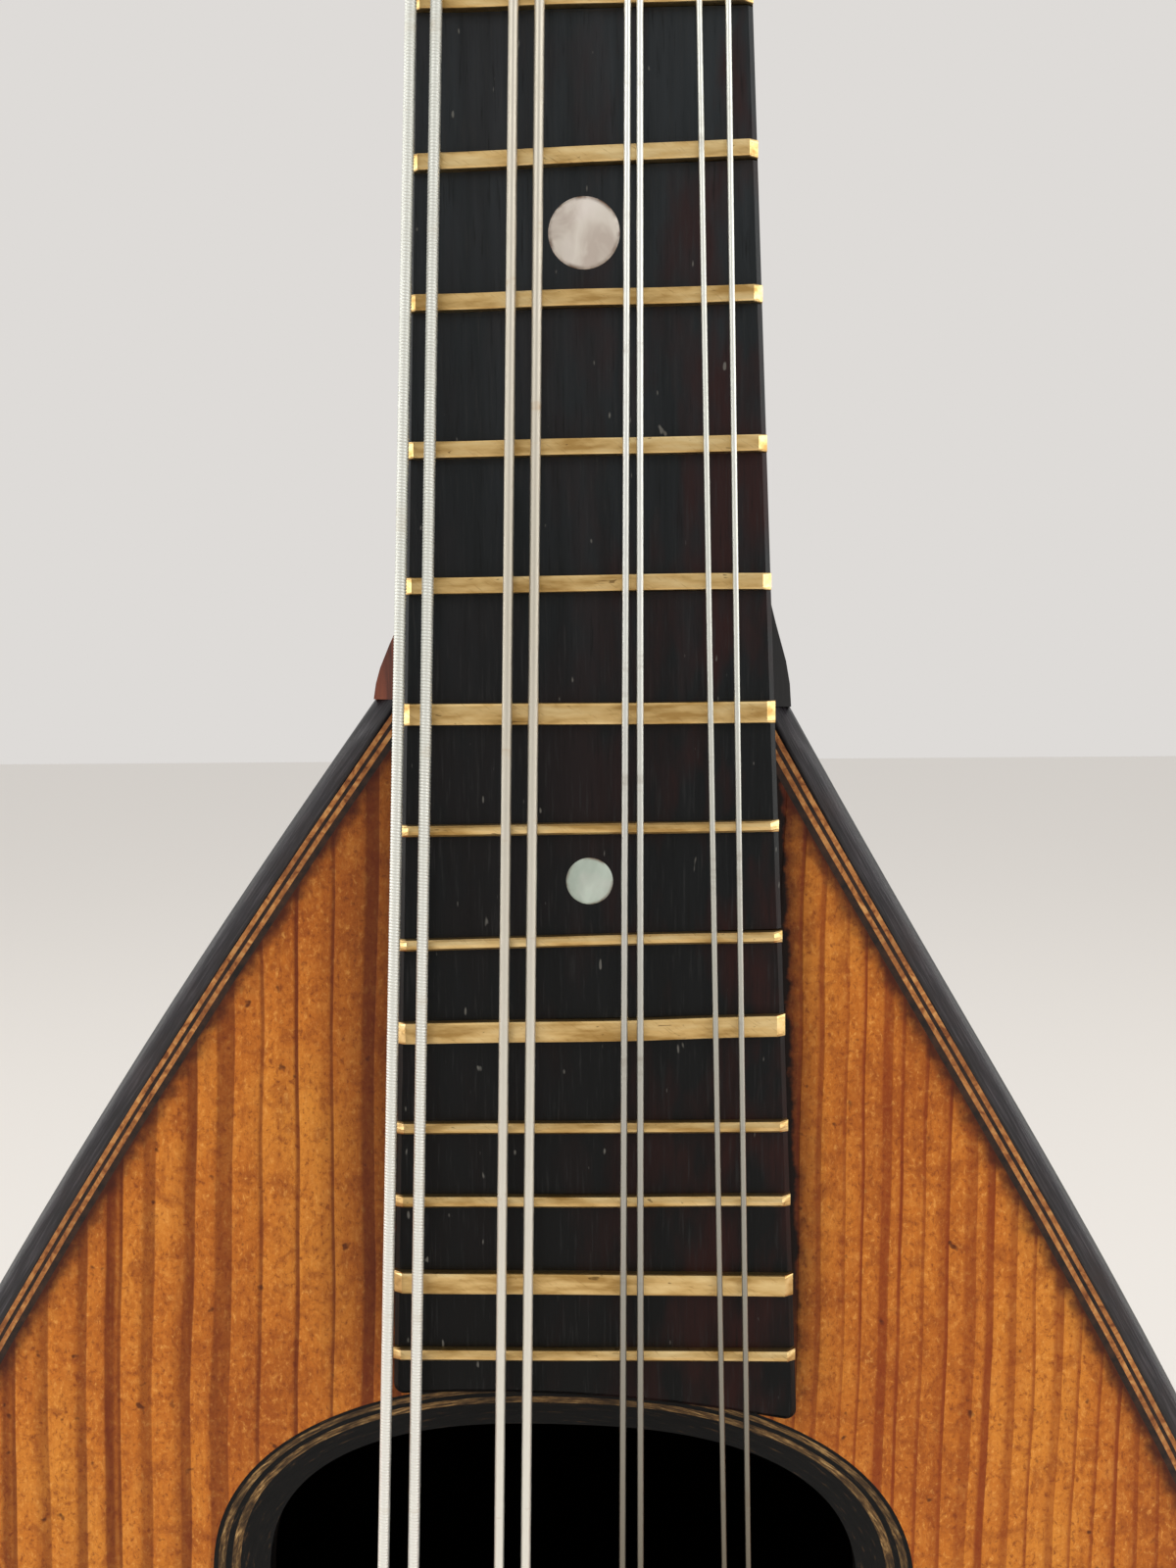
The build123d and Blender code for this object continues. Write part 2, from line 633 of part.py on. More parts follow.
def nut(wires):
    half = board_half(0)
    low, high = spot(-half, 0, -BOARD_THICKNESS), spot(half, -NUT_LENGTH, NUT_HEIGHT)
    bone = slab_box((low.X, high.Y, low.Z), (high.X, low.Y, high.Z))
    bone = fillet(bone.faces().sort_by(Axis.Y)[0].edges().filter_by(Axis.X), NUT_ROUNDING)
    for wire in wires:
        bone -= wire
    return bone


# Strings, from the loop on its hook over saddle and nut to the wrap on its post.

def hook_place(index):
    """Foot of a string's hook on the tail plate, in the body's frame."""
    x = (index - (len(STRINGS) - 1) / 2) * HOOK_SPACING
    t = BODY_LENGTH - HOOK_FROM_EDGE
    return x, rim_drop(t) - TAIL_PLATE_THICKNESS, -t


def plate_normal():
    """Direction out of the folded part of the soundboard, in the body's frame."""
    angle = math.radians(FOLD_ANGLE)
    return Vector(0, -math.cos(angle), -math.sin(angle))


def placed(frame, point):
    """Point of a frame given in the row's own axes."""
    return (frame * Pos(*point)).position


def string_post(index):
    """Side of the head, place up the row and z of the post that takes a string."""
    last = len(STRINGS) - 1
    row = index if index < 4 else last - index
    side = -1 if index < 4 else 1
    return side, row, FIRST_POST_Z + POST_SPACING * row


def string_core(index, grow):
    """Straight runs of one string, thickened by a clearance."""
    _, diameter, nut_u, saddle_u = STRINGS[index]
    side, row, post_z = string_post(index)
    wrap_middle = POST_WAIST_RADIUS + WRAP_CLEARANCE + diameter * WRAP_WALL / 2
    hook = Vector(*hook_place(index)) + plate_normal() * LOOP_LIFT
    loop_middle = HOOK_RADIUS + LOOP_CLEARANCE + diameter * WRAP_WALL / 2
    points = [
        placed(BODY, hook + Vector(0, 0, loop_middle)),
        spot(saddle_u, SADDLE_V, SADDLE_STRING_HEIGHT),
        spot(nut_u, -NUT_LENGTH / 2, NUT_STRING_HEIGHT),
        placed(HEAD, (side * (POST_X - wrap_middle), -WRAP_HEIGHTS[row], post_z)),
    ]
    start = Plane(origin=points[0], z_dir=points[1] - points[0])
    return sweep(start * Circle(diameter / 2 + grow), path=Polyline(points), transition=Transition.RIGHT)


def string(index):
    """Whole string with its end loop and its turns round the post."""
    _, diameter, _, _ = STRINGS[index]
    side, row, post_z = string_post(index)
    wall = diameter * WRAP_WALL
    wire = string_core(index, 0)
    turns = WRAP_TURNS * diameter / 2
    inner = POST_WAIST_RADIUS + WRAP_CLEARANCE
    x, y = side * POST_X, -WRAP_HEIGHTS[row]
    wrap = along_y(x, post_z, y - turns, y + turns, inner + wall)
    wrap -= along_y(x, post_z, y - turns - PAST, y + turns + PAST, inner)
    foot = Vector(*hook_place(index)) + plate_normal() * (LOOP_LIFT - wall / 2)
    top = foot + plate_normal() * wall
    hole = HOOK_RADIUS + LOOP_CLEARANCE
    loop = rod(foot, top, hole + wall) - rod(foot - plate_normal(), top + plate_normal(), hole)
    return wire + HEAD * wrap + BODY * loop


# Bridge, saddle and tailpiece.

def bridge():
    """Movable bridge, wide at the foot and low at its ends, with the saddle's slot."""
    rise = SADDLE_STRING_HEIGHT + BOARD_THICKNESS - SADDLE_RISE
    half = BRIDGE_LENGTH / 2
    crest = BRIDGE_CREST_LENGTH / 2
    shift = bridge_shift()
    middle = spot(shift, SADDLE_V, -BOARD_THICKNESS)
    front = middle.Z - BRIDGE_FOOT / 2
    side = [(half, 0), (half, BRIDGE_END_HEIGHT), (crest + BRIDGE_SHOULDER, BRIDGE_END_HEIGHT),
            (crest, rise)]
    outline = side + [(-x, height) for x, height in reversed(side)]
    face = Face(Wire.make_polygon([Vector(shift + x, middle.Y - h, front) for x, h in outline]))
    block = extrude(face, amount=BRIDGE_FOOT, dir=(0, 0, 1))
    slope = math.degrees(math.atan2((BRIDGE_FOOT - BRIDGE_CREST) / 2, rise))
    for side in (-1, 1):
        cutter = slab_box((-half - PAST, -THROUGH, min(0, side * THROUGH)),
                          (half + PAST, PAST, max(0, side * THROUGH)))
        foot = (shift, middle.Y, middle.Z + side * BRIDGE_FOOT / 2)
        block -= Location(foot, (side * slope, 0, 0)) * cutter
    arch_x = crest - BRIDGE_ARCH_LENGTH / 2 + BRIDGE_ARCH_PAST_CREST
    for side in (-1, 1):
        arch = Pos(shift + side * arch_x, middle.Y, middle.Z)
        block -= arch * Box(BRIDGE_ARCH_LENGTH, 2 * BRIDGE_ARCH_HEIGHT, 4 * BRIDGE_FOOT)
    return block - saddle_blank()


def bridge_shift():
    """Middle of the strings over the saddle."""
    return (STRINGS[0][3] + STRINGS[-1][3]) / 2


def saddle_blank():
    seat = spot(bridge_shift(), SADDLE_V, SADDLE_STRING_HEIGHT - SADDLE_RISE - SADDLE_SEAT)
    half, thick = SADDLE_LENGTH / 2, SADDLE_THICKNESS / 2
    low = (seat.X - half, seat.Y - SADDLE_SEAT - SADDLE_RISE, seat.Z - thick)
    return slab_box(low, (seat.X + half, seat.Y, seat.Z + thick))


def saddle(wires):
    bone = saddle_blank()
    bone = fillet(bone.faces().sort_by(Axis.Y)[0].edges().filter_by(Axis.X), SADDLE_ROUNDING)
    for wire in wires:
        bone -= wire
    return bone


def tail_screw(x, depth):
    """Screw through the tail plate's skirt into the tail block, in the body's frame."""
    y = rim_drop(BODY_LENGTH) + SOUNDBOARD_THICKNESS + depth
    z = -(BODY_LENGTH + CLASP_THICKNESS + 2 * GLUE_LINE + TAIL_PLATE_THICKNESS)
    z += (BODY_LENGTH - WIDEST_AT) * (1 - math.sqrt(1 - (x / BODY_HALF_WIDTH) ** 2))
    head = rod((x, y, z - SCREW_HEAD), (x, y, z + SCREW_HEAD_SEAT), SCREW_HEAD_RADIUS)
    return head, rod((x, y, z), (x, y, z + SCREW_LENGTH), SCREW_RADIUS)


def tailpiece(plate_inside, plate_outside, screws):
    """Stamped plate folded over the tail's edge, with one hook for each string."""
    reach = tail_box(TAIL_PLATE_LENGTH, TAIL_PLATE_WIDTH / 2)
    plate = (reach & bent_slab(-TAIL_PLATE_THICKNESS, TAIL_PLATE_DEPTH)) & plate_outside
    plate -= (reach & bent_slab(0, 2 * TAIL_PLATE_DEPTH)) & plate_inside
    for head, shank in screws:
        plate -= head + shank
    hooks = []
    for index in range(len(STRINGS)):
        foot = Vector(*hook_place(index)) - plate_normal() * TAIL_PLATE_THICKNESS / 2
        tip = Vector(*hook_place(index)) + plate_normal() * HOOK_HEIGHT
        stem = rod(foot, tip, HOOK_RADIUS)
        hooks.append(stem + rod(tip - plate_normal() * HOOK_HEAD, tip, HOOK_HEAD_RADIUS))
    return plate + hooks


# Tuners, built for the treble side in the head's frame and mirrored for the bass side.

def worm_shaft():
    """Worm with its shaft, lying along x; the thread is centred on the post's x at x = 0."""
    half = WORM_LENGTH / 2
    outer = BUTTON_X - POST_X + BUTTON_SEAT
    inner = -(half + LUG_END_PLAY + LUG_THICKNESS + SHAFT_END)
    shaft = rod((inner, 0, 0), (outer, 0, 0), SHAFT_RADIUS)
    shaft += rod((-half, 0, 0), (half, 0, 0), WORM_CORE_RADIUS)
    height = WORM_PITCH * WORM_TURNS
    root = WORM_CORE_RADIUS - WORM_ROOT_SINK
    profile = Face(Wire.make_polygon([
        Vector(root, 0, -WORM_ROOT_WIDTH / 2), Vector(WORM_TIP_RADIUS, 0, -WORM_TIP_WIDTH / 2),
        Vector(WORM_TIP_RADIUS, 0, WORM_TIP_WIDTH / 2), Vector(root, 0, WORM_ROOT_WIDTH / 2)]))
    helix = Helix(pitch=WORM_PITCH, height=height, radius=WORM_CORE_RADIUS)
    thread = sweep(profile, path=helix, is_frenet=True)
    thread_frame = Plane(origin=(-height / 2, 0, 0), x_dir=(0, 0, 1), z_dir=(1, 0, 0))
    return shaft + thread_frame * thread


def slotted(screw, x, y, z, head_radius):
    """Screw with a straight slot across its head, whose top is at y."""
    return screw - Pos(x, y, z) * Box(2 * (head_radius + PAST), 2 * SCREW_SLOT_DEPTH, SCREW_SLOT)


def worm_wheel():
    """Toothed wheel on the post's spigot, lying across y, with a gap facing the worm below."""
    tip, root = WHEEL_PITCH_RADIUS + WHEEL_TIP, WHEEL_PITCH_RADIUS - WHEEL_ROOT
    wheel = along_y(0, 0, WHEEL_FRONT, WHEEL_FRONT + WHEEL_THICKNESS, root)
    tooth_face = Face(Wire.make_polygon([
        Vector(-WHEEL_TOOTH_ROOT_WIDTH / 2, WHEEL_FRONT, -root + WHEEL_TOOTH_SINK),
        Vector(WHEEL_TOOTH_ROOT_WIDTH / 2, WHEEL_FRONT, -root + WHEEL_TOOTH_SINK),
        Vector(WHEEL_TOOTH_TIP_WIDTH / 2, WHEEL_FRONT, -tip),
        Vector(-WHEEL_TOOTH_TIP_WIDTH / 2, WHEEL_FRONT, -tip)]))
    tooth = extrude(tooth_face, amount=WHEEL_THICKNESS, dir=(0, 1, 0))
    for index in range(WHEEL_TEETH):
        wheel += Rot(0, 360 * (index + 0.5) / WHEEL_TEETH, 0) * tooth
    back = WHEEL_FRONT + WHEEL_THICKNESS
    wheel -= along_y(0, 0, WHEEL_FRONT - PAST, back + PAST, WHEEL_SPIGOT_RADIUS)
    screw = along_y(0, 0, back - WHEEL_SCREW_LENGTH, back, WHEEL_SCREW_RADIUS)
    screw += along_y(0, 0, back, back + WHEEL_SCREW_HEAD, WHEEL_SCREW_HEAD_RADIUS)
    return [wheel, slotted(screw, 0, back + WHEEL_SCREW_HEAD, 0, WHEEL_SCREW_HEAD_RADIUS)]


def string_post_bar(row):
    """Post from the wheel's spigot through plate, head and bush, with its waist and string hole."""
    back = WHEEL_FRONT + WHEEL_THICKNESS
    post = along_y(0, 0, -POST_RISE, WHEEL_FRONT, POST_RADIUS)
    waist = (-POST_WAIST_HEIGHTS[1], -POST_WAIST_HEIGHTS[0])
    post -= along_y(0, 0, *waist, POST_RADIUS + PAST) - along_y(0, 0, *waist, POST_WAIST_RADIUS)
    post += along_y(0, 0, WHEEL_FRONT - PAST, back, WHEEL_SPIGOT_RADIUS)
    post -= along_y(0, 0, back - WHEEL_SCREW_LENGTH, back + PAST, WHEEL_SCREW_RADIUS)
    hole, reach = -WRAP_HEIGHTS[row], POST_RADIUS + PAST
    post -= rod((-reach, hole, 0), (reach, hole, 0), POST_HOLE_RADIUS)
    return fillet(post.faces().sort_by(Axis.Y)[0].edges(), POST_TIP_ROUNDING)


def button():
    """Flattened oval grip with a collar, bored for the shaft; x = 0 is the post's x."""
    start = BUTTON_X - POST_X
    grip_middle = start + BUTTON_COLLAR_LENGTH - BUTTON_COLLAR_SINK + BUTTON_LENGTH / 2
    outline = Ellipse(BUTTON_WIDTH / 2, BUTTON_LENGTH / 2)
    grip = extrude(outline, amount=BUTTON_THICKNESS / 2, both=True)
    grip = fillet(grip.edges(), BUTTON_THICKNESS * BUTTON_EDGE_SHARE)
    plane = Plane(origin=(grip_middle, 0, 0), x_dir=(0, 0, 1), z_dir=(0, 1, 0))
    grip = plane * grip
    collar_end = start + BUTTON_COLLAR_LENGTH + BUTTON_COLLAR_SINK
    grip += rod((start, 0, 0), (collar_end, 0, 0), BUTTON_COLLAR_RADIUS)
    return grip - rod((start - PAST, 0, 0), (start + BUTTON_SEAT, 0, 0), SHAFT_RADIUS)


def lug_places():
    middle = (WORM_LENGTH + LUG_THICKNESS) / 2 + LUG_END_PLAY
    return (-middle, middle)


def tuner_plate(screw_places):
    """Treble-side plate with two lugs for each worm shaft, in the head's frame."""
    low_z = FIRST_POST_Z - PLATE_END
    high_z = FIRST_POST_Z + 3 * POST_SPACING + PLATE_END - PLATE_CORNER
    plate = slab_box((POST_X - PLATE_WIDTH / 2, WOOD_BACK, low_z),
                     (POST_X + PLATE_WIDTH / 2, PLATE_BACK, high_z))
    plate = fillet(plate.edges().filter_by(Axis.Y), PLATE_CORNER)
    lug_top = WORM_Y + SHAFT_RADIUS + BEARING_CLEARANCE + LUG_WALL
    for row in range(4):
        z = FIRST_POST_Z + POST_SPACING * row
        for x in lug_places():
            x += POST_X
            shaft_z = z - WORM_DROP
            lug = slab_box((x - LUG_THICKNESS / 2, PLATE_BACK - LUG_SINK, shaft_z - LUG_WIDTH / 2),
                           (x + LUG_THICKNESS / 2, lug_top, shaft_z + LUG_WIDTH / 2))
            rims = lug.faces().sort_by(Axis.Y)[-1].edges().filter_by(Axis.X)
            lug = fillet(rims, LUG_WIDTH * LUG_ROUNDING_SHARE)
            lug -= rod((x - LUG_THICKNESS, WORM_Y, shaft_z), (x + LUG_THICKNESS, WORM_Y, shaft_z),
                       SHAFT_RADIUS + BEARING_CLEARANCE)
            plate += lug
        plate -= along_y(POST_X, z, 0, THROUGH, POST_RADIUS + BEARING_CLEARANCE)
    for x, z in screw_places:
        if x > 0:
            plate -= along_y(x, z, 0, PLATE_BACK + PAST, SCREW_RADIUS)
    return plate


def post_bush(x, z):
    """Flanged bush pressed into the head's face round a post."""
    sleeve = along_y(x, z, 0, BUSH_LENGTH, POST_RADIUS + BUSH_WALL)
    sleeve += along_y(x, z, -BUSH_FLANGE, 0, POST_RADIUS + BUSH_WALL + BUSH_FLANGE_WIDTH)
    return sleeve - along_y(x, z, -PAST, THROUGH, POST_RADIUS + BEARING_CLEARANCE)


def plate_screw(x, z):
    shank = along_y(x, z, PLATE_BACK - SCREW_LENGTH, PLATE_BACK, SCREW_RADIUS)
    head = along_y(x, z, PLATE_BACK, PLATE_BACK + SCREW_HEAD, SCREW_HEAD_RADIUS)
    screw = shank + fillet(head.faces().sort_by(Axis.Y)[-1].edges(), SCREW_HEAD / 2)
    return slotted(screw, x, PLATE_BACK + SCREW_HEAD, z, SCREW_HEAD_RADIUS)


def mirrored(shape):
    return mirror(shape, about=Plane.YZ)


def save_tuner(index, wheel, shaft, knob):
    name = STRINGS[index][0]
    side, row, z = string_post(index)
    post_place = HEAD * Pos(side * POST_X, 0, z)
    shaft_place = HEAD * Pos(side * POST_X, WORM_Y, z - WORM_DROP)
    post = string_post_bar(row)
    if side < 0:
        wheel, shaft, knob = [mirrored(piece) for piece in wheel], mirrored(shaft), mirrored(knob)
    save(f"button_{name}", shaft_place * knob)
    save(f"worm_shaft_{name}", shaft_place * shaft)
    save(f"string_post_{name}", post_place * post)
    save(f"worm_wheel_{name}", [post_place * piece for piece in wheel])


def plate_screw_places():
    places = []
    for side in (-1, 1):
        for row in range(-1, 4):
            places.append((side * POST_X, FIRST_POST_Z + POST_SPACING * (row + PLATE_SCREW_SHARE)))
    return places


def build():
    os.makedirs("parts", exist_ok=True)
    outside, inside = bowl_solid(0), bowl_solid(-RIB_THICKNESS)
    fitted = bowl_solid(-(RIB_THICKNESS + GLUE_LINE))
    clasp_inside, clasp_outside = bowl_solid(GLUE_LINE), bowl_solid(GLUE_LINE + CLASP_THICKNESS)
    plate_inside = bowl_solid(2 * GLUE_LINE + CLASP_THICKNESS)
    plate_outside = bowl_solid(2 * GLUE_LINE + CLASP_THICKNESS + TAIL_PLATE_THICKNESS)
    tail_screws = [tail_screw(x, depth) for x, depth in TAIL_SCREWS]
    tail_shanks = [shank for _, shank in tail_screws]

    guard = pickguard()
    save("soundboard", BODY * soundboard(guard))
    save("pickguard", BODY * guard)
    save("edge_binding", BODY * side_ring(0, BINDING_WIDTH, 0, SOUNDBOARD_THICKNESS))
    for colour, strips in purfling_strips().items():
        save(f"purfling_{colour}", [BODY * strip for strip in strips])
    for colour, rings in rosette_rings().items():
        save(f"rosette_{colour}", [BODY * ring for ring in rings])

    def bored(piece):
        for shank in tail_shanks:
            piece -= shank
        return piece

    save("bowl_ribs", [BODY * bored(rib) for rib in bowl_ribs(outside, inside)])
    save("end_clasp", BODY * bored(end_clasp(clasp_inside, clasp_outside)))
    save("end_blocks", [BODY * bored(block) for block in end_blocks(fitted)])
    strips = linings(fitted).solids()
    save("linings", [BODY * strip for strip in strips])
    save("braces", [BODY * bar for bar in braces(fitted, strips)])
    save("tailpiece", BODY * tailpiece(plate_inside, plate_outside, tail_screws))

    post_places = []
    for index in range(len(STRINGS)):
        side, _, z = string_post(index)
        post_places.append((side * POST_X, z))
    screw_places = plate_screw_places()
    save("neck", neck(post_places, screw_places))
    save("headstock_veneer", headstock_veneer(post_places))
    save("fretboard", fretboard())
    save("frets", [fret_bar(number) for number in range(1, FRET_COUNT + 1)])
    save("position_dots", [dot(*place) for place in DOTS])

    cutters = [string_core(index, STRING_SLOT_CLEARANCE) for index in range(len(STRINGS))]
    save("nut", nut(cutters))
    save("bridge", bridge())
    save("saddle", saddle(cutters))
    for course in ("g", "d", "a", "e"):
        pair = [index for index, entry in enumerate(STRINGS) if entry[0][0] == course]
        save(f"strings_{course}", [string(index) for index in pair])

    plate = tuner_plate(screw_places)
    save("tuner_plates", [HEAD * plate, HEAD * mirrored(plate)])
    save("post_bushes", [HEAD * post_bush(x, z) for x, z in post_places])
    screws = [HEAD * plate_screw(x, z) for x, z in screw_places]
    screws += [BODY * (head + shank) for head, shank in tail_screws]
    save("fixing_screws", screws)
    wheel, shaft, knob = worm_wheel(), worm_shaft(), button()
    for index in range(len(STRINGS)):
        save_tuner(index, wheel, shaft, knob)


build()
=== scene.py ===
import math

import bmesh
import bpy
import numpy as np
from mathutils import Matrix, Vector


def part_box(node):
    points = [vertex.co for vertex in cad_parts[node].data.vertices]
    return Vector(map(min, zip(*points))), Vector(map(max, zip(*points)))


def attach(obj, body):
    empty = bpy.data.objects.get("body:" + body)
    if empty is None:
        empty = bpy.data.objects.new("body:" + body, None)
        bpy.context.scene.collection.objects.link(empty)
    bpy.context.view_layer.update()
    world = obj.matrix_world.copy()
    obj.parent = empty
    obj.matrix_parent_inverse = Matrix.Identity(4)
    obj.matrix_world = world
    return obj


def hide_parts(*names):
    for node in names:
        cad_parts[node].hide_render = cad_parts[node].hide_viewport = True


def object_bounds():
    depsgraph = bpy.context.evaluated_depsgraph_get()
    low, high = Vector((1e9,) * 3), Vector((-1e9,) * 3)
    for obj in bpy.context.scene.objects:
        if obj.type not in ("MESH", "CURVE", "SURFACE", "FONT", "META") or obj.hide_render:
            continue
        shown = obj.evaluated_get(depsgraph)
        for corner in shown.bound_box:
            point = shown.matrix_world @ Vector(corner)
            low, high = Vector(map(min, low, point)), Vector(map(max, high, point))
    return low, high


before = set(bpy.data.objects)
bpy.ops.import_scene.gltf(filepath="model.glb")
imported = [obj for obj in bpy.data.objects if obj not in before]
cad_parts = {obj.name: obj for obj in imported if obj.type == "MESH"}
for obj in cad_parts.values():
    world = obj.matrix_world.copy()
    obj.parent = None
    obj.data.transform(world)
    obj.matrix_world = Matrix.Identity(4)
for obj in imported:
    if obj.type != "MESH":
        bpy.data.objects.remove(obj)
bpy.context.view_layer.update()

# ---------------------------------------------------------------- where it is seen from
# The player's side, close in front of the twelfth fret and level with it, so that the
# neck runs up out of view and the body spreads below. Lengths here are in metres.
VIEW_LENS = 0.036
VIEW_RIGHT = 0.004
VIEW_IN_FRONT = 0.1427
VIEW_BELOW_NUT = 0.1423
VIEW_FORWARD = Vector((-0.0284, 0.9972, -0.0687)).normalized()
VIEW_ACROSS = Vector((0.9996, 0.0279, -0.0086))

board_low, board_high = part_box("fretboard")
viewpoint = bpy.data.objects.new("viewpoint", bpy.data.cameras.new("viewpoint"))
viewpoint.data.sensor_width = VIEW_LENS * 1000
viewpoint.data.lens = VIEW_LENS * 1000
viewpoint.data.clip_start = 0.005
bpy.context.scene.collection.objects.link(viewpoint)
across = (VIEW_ACROSS - VIEW_FORWARD * VIEW_ACROSS.dot(VIEW_FORWARD)).normalized()
upward = across.cross(VIEW_FORWARD)
facing = Matrix((across, upward, -VIEW_FORWARD)).transposed().to_4x4()
standing = Matrix.Translation((VIEW_RIGHT, board_low.y - VIEW_IN_FRONT,
                               board_high.z - VIEW_BELOW_NUT))
viewpoint.matrix_world = standing @ facing
bpy.context.scene.camera = viewpoint
bpy.context.scene.view_settings.view_transform = "Standard"

# ---------------------------------------------------------------- bowl
# Nineteen staves of rosewood, bent over a mould and glued edge to edge, with a thin pale
# strip let in at every seam. Varnished outside, each stave with its own tone. From here
# to the strings, all lengths are in millimetres.
MM = 0.001
JOINT_AT = (-1.66, -7.5, -153.29)
JOINT_TURN = (0.0, math.radians(1.5), 0.0)
BODY_LENGTH = 305.0
WIDEST_AT = 190.0
WIDEST_HALF = 97.0
JOINT_HALF = 19.6
JOINT_HOLLOW = 17.6
TOP_DRIFT = 0.92
TOP_DRIFT_RUN = 35.0
DEEPEST = 140.0
JOINT_DEPTH = 29.5
DEPTH_POWER = 1.9
FOLD_AT = 196.0
FOLD_SLOPE = math.tan(math.radians(7.0))
BOARD_EDGE = 2.5
STAVES = 19
STAVE_THICKNESS = 1.8
STAVE_STEPS = (0.0, 0.04, 0.2, 0.5, 0.8, 0.96, 1.0)
STAVE_CROWN = 0.22
STAVE_SHIFT = 37.0
CROWN_FULL_FROM = 30.0
SEAM_HALF = 0.35
SEAM_FULL_FROM = 25.0
SEAM_PROUD = 0.06
SEAM_PROFILE = ((-1, 0.5), (-0.7, 0.0), (0.7, 0.0), (1, 0.5), (1, 1.0), (-1, 1.0))
FACE_STATIONS = 30
TAIL_STATIONS = 26
TAIL_TURN = 89.0

body_frame = Matrix.Translation(Vector(JOINT_AT)) @ Matrix.Rotation(JOINT_TURN[1], 4, "Y")


def tint(red, green, blue):
    """Colour as it looks, out of 255, for a shader's socket."""
    shares = [value / 255 for value in (red, green, blue)]
    return tuple(((s + 0.055) / 1.055) ** 2.4 if s > 0.04 else s / 12.92 for s in shares) + (1.0,)


class Nodes:
    """Nodes of one tree. Each call adds a node and gives back its output."""

    def __init__(self, tree):
        self.tree = tree

    def add(self, kind, inputs=(), output=0, **settings):
        """Any kind of node, with each input linked to an output or set to a value."""
        node = self.tree.nodes.new("ShaderNode" + kind)
        for key, value in settings.items():
            setattr(node, key, value)
        pairs = inputs.items() if isinstance(inputs, dict) else enumerate(inputs)
        for key, value in pairs:
            if isinstance(value, bpy.types.NodeSocket):
                self.tree.links.new(value, node.inputs[key])
            else:
                node.inputs[key].default_value = value
        return node.outputs[output]

    def calc(self, operation, *values):
        return self.add("Math", values, operation=operation)

    def split(self, place):
        return tuple(self.add("SeparateXYZ", [place]).node.outputs)

    def blend(self, share, first, second):
        """The first colour, covered by the second as far as the share goes."""
        return self.add("Mix", {0: share, 6: first, 7: second}, output=2, data_type="RGBA")


class Finish(Nodes):
    """One finish: a shader, the values set on it and the nodes that feed it."""

    def __init__(self, name, **constants):
        self.material = bpy.data.materials.new(name)
        self.material.use_nodes = True
        super().__init__(self.material.node_tree)
        self.shader = self.tree.nodes["Principled BSDF"]
        for socket, value in constants.items():
            self.shader.inputs[socket.replace("_", " ")].default_value = value

    def place(self, at=(0, 0, 0), turn=(0, 0, 0)):
        """Place on the piece, measured in a frame that stands at a point."""
        inputs = {"Vector": self.add("TexCoord", output="Object"),
                  "Location": [value * MM for value in at], "Rotation": turn, "Scale": (MM, MM, MM)}
        return self.add("Mapping", inputs, vector_type="TEXTURE")

    def mark(self, name):
        """Number that every point of the piece carries."""
        return self.add("Attribute", output="Fac", attribute_name=name)

    def stretch(self, place, x, y, z):
        return self.add("VectorMath", [place, (x, y, z)], operation="MULTIPLY")

    def noise(self, place, scale, detail=3.0, roughness=0.55, twist=0.0):
        inputs = {"Vector": place, "Scale": scale, "Detail": detail,
                  "Roughness": roughness, "Distortion": twist}
        return self.add("TexNoise", inputs)

    def grain(self, place, rates, *settings):
        """Noise with its own rate along each axis, so that it runs in streaks."""
        return self.noise(self.stretch(place, *rates), 1.0, *settings)

    def ramp(self, value, *stops):
        """Colours or shares that follow a value, each from its own stop."""
        node = self.add("ValToRGB", [value]).node
        elements = node.color_ramp.elements
        elements.remove(elements[1])
        for index, (position, shade) in enumerate(stops):
            element = elements[0] if index == 0 else elements.new(position)
            element.position = position
            element.color = shade if isinstance(shade, tuple) else (shade, shade, shade, 1.0)
        return node.outputs[0]

    def feed(self, **sources):
        for socket, source in sources.items():
            self.tree.links.new(source, self.shader.inputs[socket.replace("_", " ")])

    def bump(self, height, depth, coat=False):
        """Relief of a given depth."""
        normal = self.add("Bump", {"Height": height, "Distance": depth * MM})
        self.tree.links.new(normal, self.shader.inputs["Normal"])
        if coat:
            self.tree.links.new(normal, self.shader.inputs["Coat Normal"])


def dress(finish, *names):
    """One finish over the whole of some of the build's own pieces."""
    for name in names:
        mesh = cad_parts[name].data
        mesh.materials.clear()
        mesh.materials.append(finish.material)


def new_piece(name, points, faces, finish, body="instrument", smooth=True, at=None):
    """Piece from points given in the frame at, riding on a body."""
    mesh = bpy.data.meshes.new(name)
    mesh.from_pydata([tuple(point) for point in points], [], faces)
    mesh.transform(Matrix.Scale(MM, 4) @ (at or Matrix.Identity(4)))
    shape = bmesh.new()
    shape.from_mesh(mesh)
    bmesh.ops.recalc_face_normals(shape, faces=shape.faces)
    shape.to_mesh(mesh)
    shape.free()
    mesh.shade_smooth() if smooth else mesh.shade_flat()
    mesh.materials.append(finish.material)
    piece = bpy.data.objects.new(name, mesh)
    bpy.context.scene.collection.objects.link(piece)
    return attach(piece, body)


def mark_points(piece, name, values):
    """A number for every point of a piece, which its finish can read."""
    piece.data.attributes.new(name, "FLOAT", "POINT").data.foreach_set("value", values)


def strip_faces(rows, columns):
    """Faces of a sheet whose points stand in rows."""
    faces = []
    for row in range(rows - 1):
        for column in range(columns - 1):
            corner = row * columns + column
            faces.append((corner, corner + 1, corner + columns + 1, corner + columns))
    return faces


